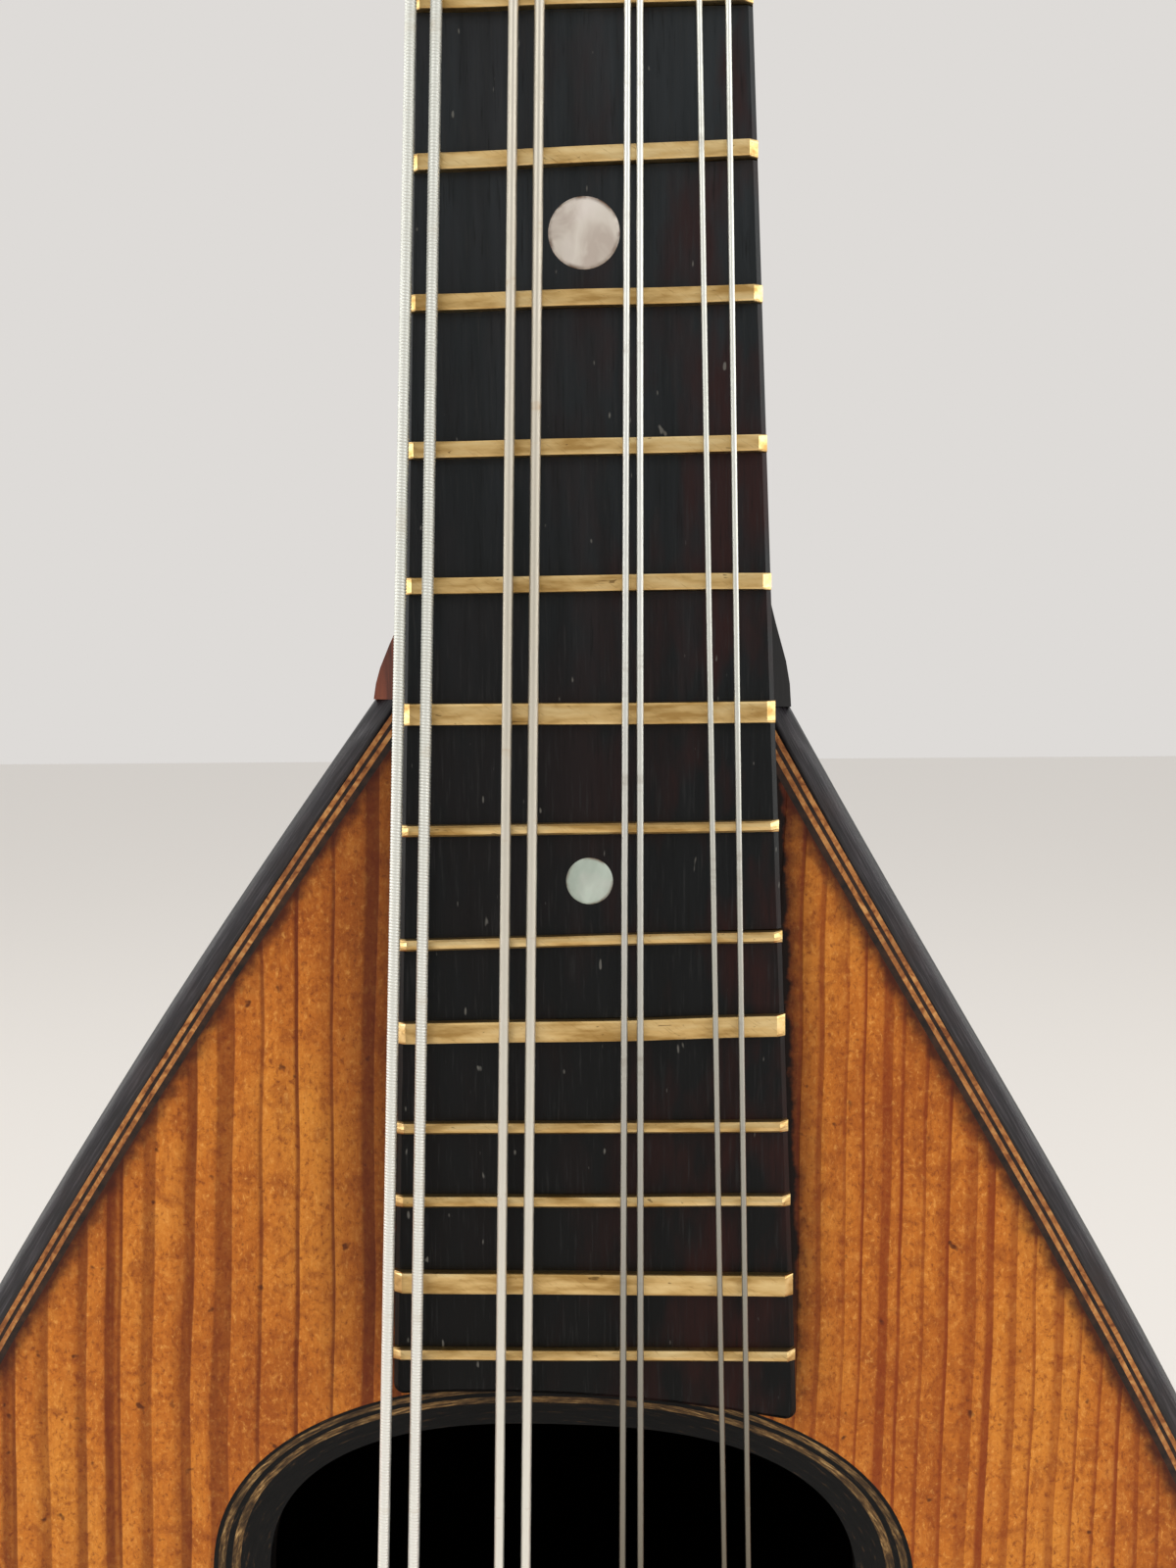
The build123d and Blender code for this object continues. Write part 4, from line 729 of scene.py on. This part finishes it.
# Darker towards the body: painted shade for the weaker reflection there.
grime_and_painted_shade = board_finish.ramp(down, (0.3, 0.0), (0.5, 0.72), (0.7, 0.96))
colour = board_finish.blend(grime_and_painted_shade, colour, tint(2, 2, 2))
across = board_finish.calc("DIVIDE", board_finish.split(place)[0], 40.0)
treble = board_finish.ramp(board_finish.calc("ADD", across, 0.5), (0.35, 0.1), (0.8, 1.0))
lower_end = board_finish.ramp(down, (0.685, 0.0), (0.71, 1.0))
red = board_finish.calc("MULTIPLY", board_finish.ramp(rubbed, (0.45, 0.0), (0.62, 0.7)),
                        board_finish.calc("MAXIMUM", treble, lower_end))
colour = board_finish.blend(red, colour, tint(44, 17, 14))
for pattern, stops, shade in (
        (pores, ((0.56, 0.0), (0.72, 0.5)), tint(42, 42, 42)),
        (pores, ((0.28, 0.6), (0.42, 0.0)), tint(9, 8, 8)),
        (nicks, ((0.76, 0.0), (0.8, 0.6)), tint(120, 118, 112))):
    colour = board_finish.blend(board_finish.ramp(pattern, *stops), colour, shade)
board_finish.feed(Base_Color=colour,
                  Roughness=board_finish.ramp(rubbed, (0.3, 0.36), (0.7, 0.5)))
relief = board_finish.calc("ADD", pores, board_finish.calc("MULTIPLY", bands, 0.6))
board_finish.bump(relief, 0.03)
dress(board_finish, "fretboard")

# ---------------------------------------------------------------- frets
# Bars of brass set in slots by eye, a little off their true places, filed level on top and
# bevelled at both ends. Strings have scratched them, and the bevels stay bright.
SCALE_LENGTH = 330.0
FRETS = 17
BOARD_Y = -12.0
FRET_HEIGHT = 1.0
FRET_SEAT = 0.8
END_BEVEL = 0.8
END_HEIGHT = 0.25
FRET_STEPS = 40
NARROW_FRET = 1.1
MEDIUM_FRET = 1.5
WIDE_FRET = 2.0
WIDE_FRETS = (10, 13, 16)
FLAT_PROFILE = ((-0.5, -1.0), (-0.5, 0.76), (-0.47, 0.9), (-0.38, 0.98), (0.0, 1.0),
                (0.38, 0.98), (0.47, 0.9), (0.5, 0.76), (0.5, -1.0))
ROUND_PROFILE = ((-0.5, -1.0), (-0.5, 0.45), (-0.44, 0.74), (-0.28, 0.94), (0.0, 1.0),
                 (0.28, 0.94), (0.44, 0.74), (0.5, 0.45), (0.5, -1.0))
# Fret number: millimetres too far down, degrees aslant.
FRET_STRAYS = {6: (-0.3, 1.1), 7: (-1.0, 0.8), 8: (-0.3, 0.5), 9: (0.2, 0.1), 10: (0.9, 0.0),
               11: (1.0, 0.5), 12: (1.5, 1.4), 13: (0.5, 1.0), 14: (0.9, 0.3), 15: (-0.4, 0.2),
               16: (-0.4, -0.3), 17: (-0.9, -0.1)}
ON_BEVEL = 0.9
PAST_BEVEL = 0.3
WAVES = (0.05, 0.03, 0.015, 0.01)
WAVE_RATE = 1.7
WAVE_SEED = 7


def fret_down(number):
    """A fret's true distance down from the nut."""
    return SCALE_LENGTH * (1 - 2 ** (-number / 12))


def fret_width(number):
    """Three widths of bar were used, the thinnest at the low end."""
    if number in WIDE_FRETS:
        return WIDE_FRET
    return MEDIUM_FRET if number < min(WIDE_FRETS) else NARROW_FRET


def fret_bar(number, waves):
    """Points in rings along one fret, from its bass end to its treble end, and its faces."""
    stray, aslant = FRET_STRAYS.get(number, (0.0, 0.0))
    down = fret_down(number) + stray
    half = BOARD_HALF_AT_NUT + BOARD_HALF_GROWTH * down
    width = fret_width(number)
    profile = FLAT_PROFILE if width > NARROW_FRET else ROUND_PROFILE
    inside = half - END_BEVEL - PAST_BEVEL
    reaches = [-half, -half + END_BEVEL * ON_BEVEL, -half + END_BEVEL]
    reaches += list(np.linspace(-inside, inside, FRET_STEPS))
    reaches += [half - END_BEVEL, half - END_BEVEL * ON_BEVEL, half]
    points = []
    for reach in reaches:
        top = END_HEIGHT + (FRET_HEIGHT - END_HEIGHT) * min(1.0, (half - abs(reach)) / END_BEVEL)
        off = sum(wave * math.sin((count + 1) * WAVE_RATE * reach / half + count)
                  for count, wave in enumerate(waves))
        off -= reach * math.tan(math.radians(aslant))
        for side, level in profile:
            height = top * level if level > 0 else -FRET_SEAT
            points.append((reach, BOARD_Y - height, NUT_Z - down - off + side * width))
    return points, ring_faces(len(reaches), len(profile))


brass = Finish("scratched_fret_brass", Metallic=1.0)
place = brass.place()
scratches = brass.grain(brass.place((0, 0, 0), (0, 0.6, 0)), (0.6, 1.0, 6.0), 3.0, 0.6)
tarnish = brass.noise(brass.stretch(place, 0.25, 1.0, 1.2), 0.8, 3.0, 0.55)
pits = brass.noise(brass.stretch(place, 0.5, 1.0, 2.0), 1.3, 2.0, 0.5, 0.8)
colour = brass.ramp(tarnish, (0.34, tint(176, 140, 82)), (0.5, tint(214, 180, 120)),
                    (0.7, tint(232, 204, 148)))
colour = brass.blend(brass.ramp(scratches, (0.58, 0.0), (0.72, 0.5)), colour, tint(150, 112, 62))
colour = brass.blend(brass.ramp(pits, (0.69, 0.0), (0.75, 0.7)), colour, tint(92, 66, 36))
brass.feed(Base_Color=colour, Roughness=brass.ramp(tarnish, (0.3, 0.4), (0.7, 0.28)))
brass.bump(scratches, 0.015)
generator = np.random.default_rng(WAVE_SEED)
fret_points, fret_faces = [], []
for number in range(1, FRETS + 1):
    points, faces = fret_bar(number, generator.normal(0, 1, len(WAVES)) * WAVES)
    fret_faces += counted_from(len(fret_points), faces)
    fret_points += points
frets = new_piece("fret_bars", fret_points, fret_faces, brass, smooth=False)
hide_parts("frets")

# ---------------------------------------------------------------- position dots
# Discs of shell glued into the fretboard and left very slightly domed. The big one at
# the seventh fret is pinkish, the small one at the twelfth greenish.
DOT_DOME = 0.14
DOT_DEPTH = 1.0
DOT_RINGS = 10
DOT_SIDES = 48
# Fret below the dot, diameter, how far the dot sits below the middle of its field.
DOTS = ((5, 6.2, -0.3), (7, 6.4, -0.3), (12, 4.3, 0.95))


def disc(diameter, middle):
    """Points of a domed disc with an upright rim, its faces, and each point's share of radius."""
    points, rims = [(0, BOARD_Y - DOT_DOME, middle)], [0.0]
    rings = [(ring / DOT_RINGS, BOARD_Y - DOT_DOME * (1 - (ring / DOT_RINGS) ** 2))
             for ring in range(1, DOT_RINGS + 1)]
    for share, depth in rings + [(1.0, BOARD_Y + DOT_DEPTH)]:
        for side in range(DOT_SIDES):
            turn = 2 * math.pi * side / DOT_SIDES
            points.append((diameter / 2 * share * math.cos(turn), depth,
                           middle + diameter / 2 * share * math.sin(turn)))
            rims.append(share)
    faces = [(0, 1 + side, 1 + (side + 1) % DOT_SIDES) for side in range(DOT_SIDES)]
    for ring in range(DOT_RINGS):
        inner = 1 + ring * DOT_SIDES
        outer = inner + DOT_SIDES
        for side in range(DOT_SIDES):
            after = (side + 1) % DOT_SIDES
            faces.append((inner + side, inner + after, outer + after, outer + side))
    faces.append(tuple(range(1 + DOT_RINGS * DOT_SIDES, len(points))))
    return points, faces, rims


pearl = Finish("shell_discs", Roughness=0.3, Coat_Weight=0.3, Coat_Roughness=0.1,
               Specular_IOR_Level=0.4)
place = pearl.place()
layers = pearl.noise(pearl.stretch(place, 1.0, 1.0, 0.7), 0.3, 3.0, 0.5, 1.0)
haze = pearl.noise(place, 0.28, 2.0)
warm = pearl.ramp(layers, (0.35, tint(187, 174, 163)), (0.5, tint(207, 198, 187)),
                  (0.66, tint(220, 213, 203)))
cool = pearl.ramp(layers, (0.3, tint(156, 168, 156)), (0.5, tint(172, 184, 172)),
                  (0.72, tint(190, 202, 190)))
low_down = pearl.ramp(below_nut(pearl, 200.0), (0.6, 0.0), (0.7, 1.0))
colour = pearl.blend(low_down, warm, cool)
colour = pearl.blend(pearl.ramp(haze, (0.5, 0.0), (0.75, 0.4)), colour, tint(222, 210, 208))
patchy = pearl.ramp(pearl.noise(place, 0.5), (0.42, 0.0), (0.6, 0.9))
rim_stain = pearl.ramp(pearl.mark("rim"), (0.88, 0.0), (0.99, 1.0))
rim_stain = pearl.calc("MULTIPLY", rim_stain, patchy)
colour = pearl.blend(rim_stain, colour, tint(98, 66, 42))
pearl.feed(Base_Color=colour)
dot_points, dot_faces, dot_rims = [], [], []
for number, diameter, stray in DOTS:
    middle = NUT_Z - (fret_down(number - 1) + fret_down(number)) / 2 - stray
    points, faces, rims = disc(diameter, middle)
    dot_faces += counted_from(len(dot_points), faces)
    dot_points += points
    dot_rims += rims
dots = new_piece("shell_dots", dot_points, dot_faces, pearl)
mark_points(dots, "rim", dot_rims)
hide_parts("position_dots")

# ---------------------------------------------------------------- nut, saddle and buttons
# Bone, sawn and polished: the slotted nut at the top of the fretboard, the saddle let
# into the bridge, and the eight tuner buttons. It has yellowed and shows fine flecks.
STRING_NAMES = ("g1", "g2", "d1", "d2", "a1", "a2", "e1", "e2")


def one_per_string(piece):
    """Names of a piece that comes once for each string."""
    return [f"{piece}_{name}" for name in STRING_NAMES]


bone = Finish("polished_bone", Roughness=0.3, Coat_Weight=0.3, Coat_Roughness=0.12,
              Subsurface_Weight=0.1, Subsurface_Radius=(0.002, 0.0015, 0.001))
place = bone.place()
yellow = bone.noise(place, 0.14, 3.0)
flecks = bone.grain(place, (0.5, 3.0, 3.0), 3.0)
colour = bone.ramp(yellow, (0.35, tint(214, 200, 166)), (0.65, tint(234, 226, 202)))
colour = bone.blend(bone.ramp(flecks, (0.58, 0.0), (0.7, 0.4)), colour, tint(176, 152, 112))
bone.feed(Base_Color=colour)
bone.bump(flecks, 0.01)
dress(bone, "nut", "saddle", *one_per_string("button"))

# ---------------------------------------------------------------- bridge
# Ebony, cut with two arches under the strings and low ends. It isn't glued: it stands on
# the front and only the strings hold it there.
ebony = Finish("polished_ebony", Roughness=0.28, Coat_Weight=0.3, Coat_Roughness=0.12)
place = ebony.place()
pores = ebony.grain(place, (0.14, 2.6, 2.6), 4.0, 0.6)
ebony.feed(Base_Color=ebony.ramp(pores, (0.4, tint(22, 19, 18)), (0.72, tint(54, 44, 38))))
ebony.bump(pores, 0.03)
dress(ebony, "bridge")

# ---------------------------------------------------------------- tailpiece and post bushes
# Thin plate folded over the tail's edge with a hook for each string, and a flanged bush
# round each post in the head's face. Both nickel plated, dulled and a little spotted.
nickel = Finish("dull_nickel", Metallic=1.0)
place = nickel.place()
spots = nickel.noise(place, 0.35, 4.0, 0.6)
rub = nickel.noise(nickel.stretch(place, 1.0, 1.0, 0.2), 1.6, 3.0)
colour = nickel.ramp(spots, (0.3, tint(140, 132, 118)), (0.5, tint(190, 186, 176)),
                     (0.7, tint(208, 206, 198)))
nickel.feed(Base_Color=colour, Roughness=nickel.ramp(spots, (0.3, 0.45), (0.7, 0.24)))
nickel.bump(rub, 0.015)
dress(nickel, "tailpiece", "post_bushes")

# ---------------------------------------------------------------- screws, posts and worms
# Turned steel: the string posts, the worms with their shafts, and the screws that hold
# the plates. Machining left fine rings, and the hollows have darkened.
steel = Finish("turned_steel", Metallic=1.0)
place = steel.place()
tool_marks = steel.grain(place, (6.0, 0.6, 6.0), 2.0)
grime_and_painted_shade = steel.noise(place, 0.5, 4.0, 0.6)
colour = steel.ramp(grime_and_painted_shade, (0.32, tint(112, 106, 98)), (0.55, tint(176, 174, 170)),
                    (0.75, tint(198, 197, 194)))
steel.feed(Base_Color=colour, Roughness=steel.ramp(grime_and_painted_shade, (0.3, 0.42), (0.7, 0.22)))
steel.bump(tool_marks, 0.012)
dress(steel, "fixing_screws", *one_per_string("string_post"), *one_per_string("worm_shaft"))

# ---------------------------------------------------------------- tuner plates and wheels
# Brass plate screwed to the back of the head with lugs for the worms, and a toothed
# brass wheel on each post. Satin from handling, brown where fingers don't reach.
tuner_brass = Finish("satin_tuner_brass", Metallic=1.0)
place = tuner_brass.place()
patina = tuner_brass.noise(place, 0.22, 4.0, 0.6)
brushed = tuner_brass.grain(place, (3.0, 3.0, 0.15), 3.0)
colour = tuner_brass.ramp(patina, (0.3, tint(156, 124, 72)), (0.5, tint(182, 148, 90)),
                          (0.7, tint(204, 172, 110)))
tuner_brass.feed(Base_Color=colour,
                 Roughness=tuner_brass.ramp(patina, (0.3, 0.44), (0.7, 0.34)))
tuner_brass.bump(brushed, 0.015)
dress(tuner_brass, "tuner_plates", *one_per_string("worm_wheel"))

# ---------------------------------------------------------------- strings
# Four pairs. The lowest is steel wound with fine wire, the others plain steel. Each is
# looped and twisted on its hook, crosses saddle and nut, and coils round its post.
SADDLE_DOWN = 331.5
SADDLE_LIFT = 5.0
NUT_DOWN = -2.25
NUT_LIFT = 1.55
HEAD_AT = (0.0, -9.0, -4.0)
HEAD_TILT = math.radians(-8.0)
POST_ACROSS = 15.5
FIRST_POST = 36.0
POST_GAP = 23.5
POST_WAIST = 2.8
COIL_LEVELS = (5.2, 8.6, 5.2, 8.6)
COIL_WALL = 1.15
COIL_RISE = 1.02
COIL_TURNS = 3
COIL_STEPS = 36
HOOK_GAP = 4.3
HOOK_DOWN = 292.0
HOOK_RADIUS = 0.9
HOOK_TOP_PLATE = 1.0
LOOP_LIFT = 1.3
LOOP_ROOM = 0.1
LOOP_FROM = -60.0
LOOP_TURN = 300.0
LOOP_STEPS = 48
LOOP_TUCK = 0.2
TWIST_FROM = 0.6
TWIST_LENGTH = 11.0
TWIST_PITCH = 1.7
TWIST_STEPS = 14
TWIST_TUCKED = 6
TWIST_SPREAD = 1.02
TUCKED_SPREAD = 0.8
BEND_EASE = 1.2
BEND_STEPS = 7
WINDING_PITCH = 0.28
WINDING_DEPTH = 0.055
WIRE_CORNERS = 10
RUN_STEP = 0.5
LOOP_STEP = 0.2
TWIST_STEP = 0.3
# Diameter, place across the nut and place across the saddle, in the order of the names.
STRINGS = ((1.10, -12.0, -23.0), (1.10, -10.1, -19.8), (0.92, -4.1, -11.0), (0.92, -1.95, -8.4),
           (0.62, 4.9, 1.5), (0.62, 5.6, 3.6), (0.52, 9.15, 13.25), (0.52, 11.85, 15.2))

head_frame = Matrix.Translation(HEAD_AT) @ Matrix.Rotation(HEAD_TILT, 4, "X")


def neck_place(u, v, w):
    """Place given across the neck, down from the nut and out from the fretboard."""
    return Vector((u, BOARD_Y - w, NUT_Z - v))


def softened(corner, before, after):
    """Short curve in place of the corner between two straight runs."""
    start = corner + (before - corner).normalized() * BEND_EASE
    end = corner + (after - corner).normalized() * BEND_EASE
    return [(start * (1 - s) + corner * s) * (1 - s) + (corner * (1 - s) + end * s) * s
            for s in np.linspace(0, 1, BEND_STEPS)]


def evenly(line, step):
    """Points at even steps along a line, and how far along each one is."""
    line = np.array([tuple(point) for point in line])
    run = np.concatenate([[0], np.cumsum(np.linalg.norm(np.diff(line, axis=0), axis=1))])
    reach = np.linspace(0, run[-1], max(2, int(run[-1] / step) + 1))
    return np.stack([np.interp(reach, run, line[:, axis]) for axis in range(3)], axis=1), reach


def wire(line, radius, step, winding=0.0):
    """Rings of a wire along a line, with a winding's ridges if it has one."""
    points, reach = evenly(line, step)
    ahead = np.gradient(points, axis=0)
    ahead /= np.linalg.norm(ahead, axis=1)[:, None]
    side = np.cross(ahead, (0.0, 1.0, 0.0))
    side /= np.linalg.norm(side, axis=1)[:, None]
    over = np.cross(side, ahead)
    turn = np.linspace(0, 2 * math.pi, WIRE_CORNERS, endpoint=False)
    ridge = 2 * math.pi * reach[:, None] / WINDING_PITCH - turn[None, :]
    radii = radius - winding * (0.5 - 0.5 * np.cos(ridge))
    rings = (points[:, None, :] + side[:, None, :] * (np.cos(turn) * radii)[:, :, None]
             + over[:, None, :] * (np.sin(turn) * radii)[:, :, None])
    return rings.reshape(-1, 3), ring_faces(len(points), WIRE_CORNERS)


def coil(index, diameter):
    """Turns of a string round its post, from the point where it comes in."""
    last = len(STRINGS) - 1
    row, side = (index, -1) if index < last / 2 else (last - index, 1)
    radius = POST_WAIST + diameter * COIL_WALL / 2
    level = -COIL_LEVELS[row] - diameter
    points = []
    for step in range(COIL_STEPS * COIL_TURNS + 1):
        turn = step / COIL_STEPS * 2 * math.pi
        points.append(head_frame @ Vector((
            side * (POST_ACROSS - radius * math.cos(turn)),
            level + diameter * COIL_RISE * step / COIL_STEPS,
            FIRST_POST + POST_GAP * row + radius * math.sin(turn))))
    return points


def loop(hook, out, radius, start):
    """Eye of a string round its hook, beginning inside the twist."""
    up = Vector((0, out.z, -out.y))
    points = []
    for step in range(LOOP_STEPS + 1):
        turn = math.radians(LOOP_FROM + LOOP_TURN * step / LOOP_STEPS) - math.pi
        across = Vector((math.sin(turn) * radius, 0, 0))
        points.append(body_frame @ (hook + across - up * math.cos(turn) * radius))
    return [start.lerp(points[0], LOOP_TUCK)] + points


def twist(start, away, diameter):
    """The string's end, wound back round the string and tucked in."""
    beside = away.cross((0, 1, 0)).normalized()
    above = beside.cross(away)
    steps = int(TWIST_LENGTH / TWIST_PITCH * TWIST_STEPS)
    points = []
    for step in range(steps + 1):
        turn = 2 * math.pi * step / TWIST_STEPS
        spread = diameter * (TWIST_SPREAD if step < steps - TWIST_TUCKED else TUCKED_SPREAD)
        points.append(start + away * (TWIST_FROM + TWIST_LENGTH * step / steps)
                      + beside * math.cos(turn) * spread + above * math.sin(turn) * spread)
    return points


def string_lines(index):
    """Lines of one string: from its loop to the end of its coil, the loop and the twist."""
    diameter, nut_u, saddle_u = STRINGS[index]
    bend = math.atan(FOLD_SLOPE)
    out = Vector((0, -math.cos(bend), -math.sin(bend)))
    across = (index - (len(STRINGS) - 1) / 2) * HOOK_GAP
    hook = Vector((across, set_back(HOOK_DOWN) - HOOK_TOP_PLATE, -HOOK_DOWN))
    hook += out * LOOP_LIFT
    loop_radius = HOOK_RADIUS + LOOP_ROOM + diameter * COIL_WALL / 2
    start = body_frame @ (hook + Vector((0, 0, loop_radius)))
    saddle_top = neck_place(saddle_u, SADDLE_DOWN, SADDLE_LIFT)
    nut_top = neck_place(nut_u, NUT_DOWN, NUT_LIFT)
    turns = coil(index, diameter)
    run = [start] + softened(saddle_top, start, nut_top) + softened(nut_top, saddle_top, turns[0])
    away = (saddle_top - start).normalized()
    return run + turns, loop(hook, out, loop_radius, start), twist(start, away, diameter)


def string_steel(name, high, low, worn, polish, wear):
    """Steel wire with tarnished spots, and a second tone, a painted reflection, down the lower
    stretch and most over the sound hole.
    """
    metal = Finish(name, Metallic=1.0)
    spots = metal.noise(metal.stretch(metal.place(), 0.3, 0.3, 1.0), 0.3, 4.0, 0.7)
    # Share of the second tone: painted reflection, strongest over the sound hole.
    lower = metal.ramp(below_nut(metal, SCALE_LENGTH), (0.42, 0.0), (0.68, 1.0), (0.84, 1.0),
                       (0.95, 0.3))
    colour = metal.blend(lower, high, low)
    colour = metal.blend(metal.ramp(spots, (0.6, 0.0), (0.72, wear)), colour, worn)
    metal.feed(Base_Color=colour,
               Roughness=metal.ramp(spots, (0.35, polish), (0.7, polish + 0.12)))
    return metal


# Second tone of each: painted reflection, paler for g and d and darker for a and e.
string_finishes = {
    "g": string_steel("wound_string", tint(210, 211, 204), tint(238, 237, 231),
                      tint(196, 178, 150), 0.5, 0.3),
    "d": string_steel("smooth_string", tint(198, 192, 178), tint(236, 234, 225),
                      tint(182, 146, 100), 0.45, 0.6),
    "a": string_steel("plain_string", tint(220, 221, 215), tint(126, 120, 108),
                      tint(120, 102, 80), 0.36, 0.3),
    "e": string_steel("thin_string", tint(212, 213, 205), tint(118, 111, 98),
                      tint(120, 102, 80), 0.36, 0.3),
}
for course, finish in string_finishes.items():
    wound = WINDING_DEPTH if course == "g" else 0.0
    run_step = WINDING_PITCH / 4 if wound else RUN_STEP
    pair_points, pair_faces = [], []
    for index, name in enumerate(STRING_NAMES):
        if name[0] != course:
            continue
        run, eye, end = string_lines(index)
        for line, step, winding in ((run, run_step, wound), (eye, LOOP_STEP, 0.0),
                                    (end, TWIST_STEP, 0.0)):
            points, faces = wire(line, STRINGS[index][0] / 2, step, winding)
            pair_faces += counted_from(len(pair_points), faces)
            pair_points += points.tolist()
    pair = new_piece(f"string_pair_{course}", pair_points, pair_faces, finish)
    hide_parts(f"strings_{course}")

# ---------------------------------------------------------------- light, floor and backdrop
# A bright room, in metres: pale all round, brighter from above and from both sides, with
# two broad soft lamps high in front. A pale floor lies below the tail.
FLOOR_BELOW = 0.02
FLOOR_SPAN = 6.0
BACKDROP = tint(222, 219, 216)
ROOM_LOW = (0.34, 0.33, 0.32, 1)
ROOM_HIGH = (0.92, 0.92, 0.92, 1)
LAMP_COLOUR = (1.0, 0.985, 0.96)

world = bpy.data.worlds.new("room")
bpy.context.scene.world = world
world.use_nodes = True
room = Nodes(world.node_tree)
_, _, up = room.split(room.add("TexCoord", output="Generated"))
height = room.add("MapRange", {"Value": up, "From Min": -0.5, "From Max": 0.7})
lighting = room.blend(height, ROOM_LOW, ROOM_HIGH)
seen = room.blend(room.add("LightPath", output="Is Camera Ray"), lighting, BACKDROP)
room.tree.links.new(seen, room.tree.nodes["Background"].inputs["Color"])

low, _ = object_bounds()
floor_finish = Finish("pale_floor", Roughness=0.95, Base_Color=tint(224, 219, 213),
                      Specular_IOR_Level=0.1)
floor_mesh = bpy.data.meshes.new("floor")
floor_mesh.from_pydata([(FLOOR_SPAN * x, FLOOR_SPAN * y, low.z - FLOOR_BELOW)
                        for x, y in ((-1, -1), (1, -1), (1, 1), (-1, 1))], [], [(0, 1, 2, 3)])
floor_mesh.materials.append(floor_finish.material)
floor = bpy.data.objects.new("floor", floor_mesh)
bpy.context.scene.collection.objects.link(floor)


def lamp(name, at, size, power, aim):
    """Round soft lamp that faces a point."""
    light = bpy.data.lights.new(name, "AREA")
    light.shape = "DISK"
    light.size = size
    light.energy = power
    light.color = LAMP_COLOUR
    holder = bpy.data.objects.new(name, light)
    holder.location = at
    holder.rotation_euler = (Vector(aim) - Vector(at)).to_track_quat("-Z", "Y").to_euler()
    bpy.context.scene.collection.objects.link(holder)


lamp("lamp_left", (-1.5, -1.6, 1.2), 1.4, 15, (0, 0, -0.2))
lamp("lamp_right", (1.7, -1.3, 0.9), 1.4, 13, (0, 0, -0.2))
lamp("side_right", (1.6, 0.15, 0.1), 1.1, 8, (0, 0, -0.15))
lamp("side_left", (-1.6, 0.15, 0.1), 1.1, 8, (0, 0, -0.15))
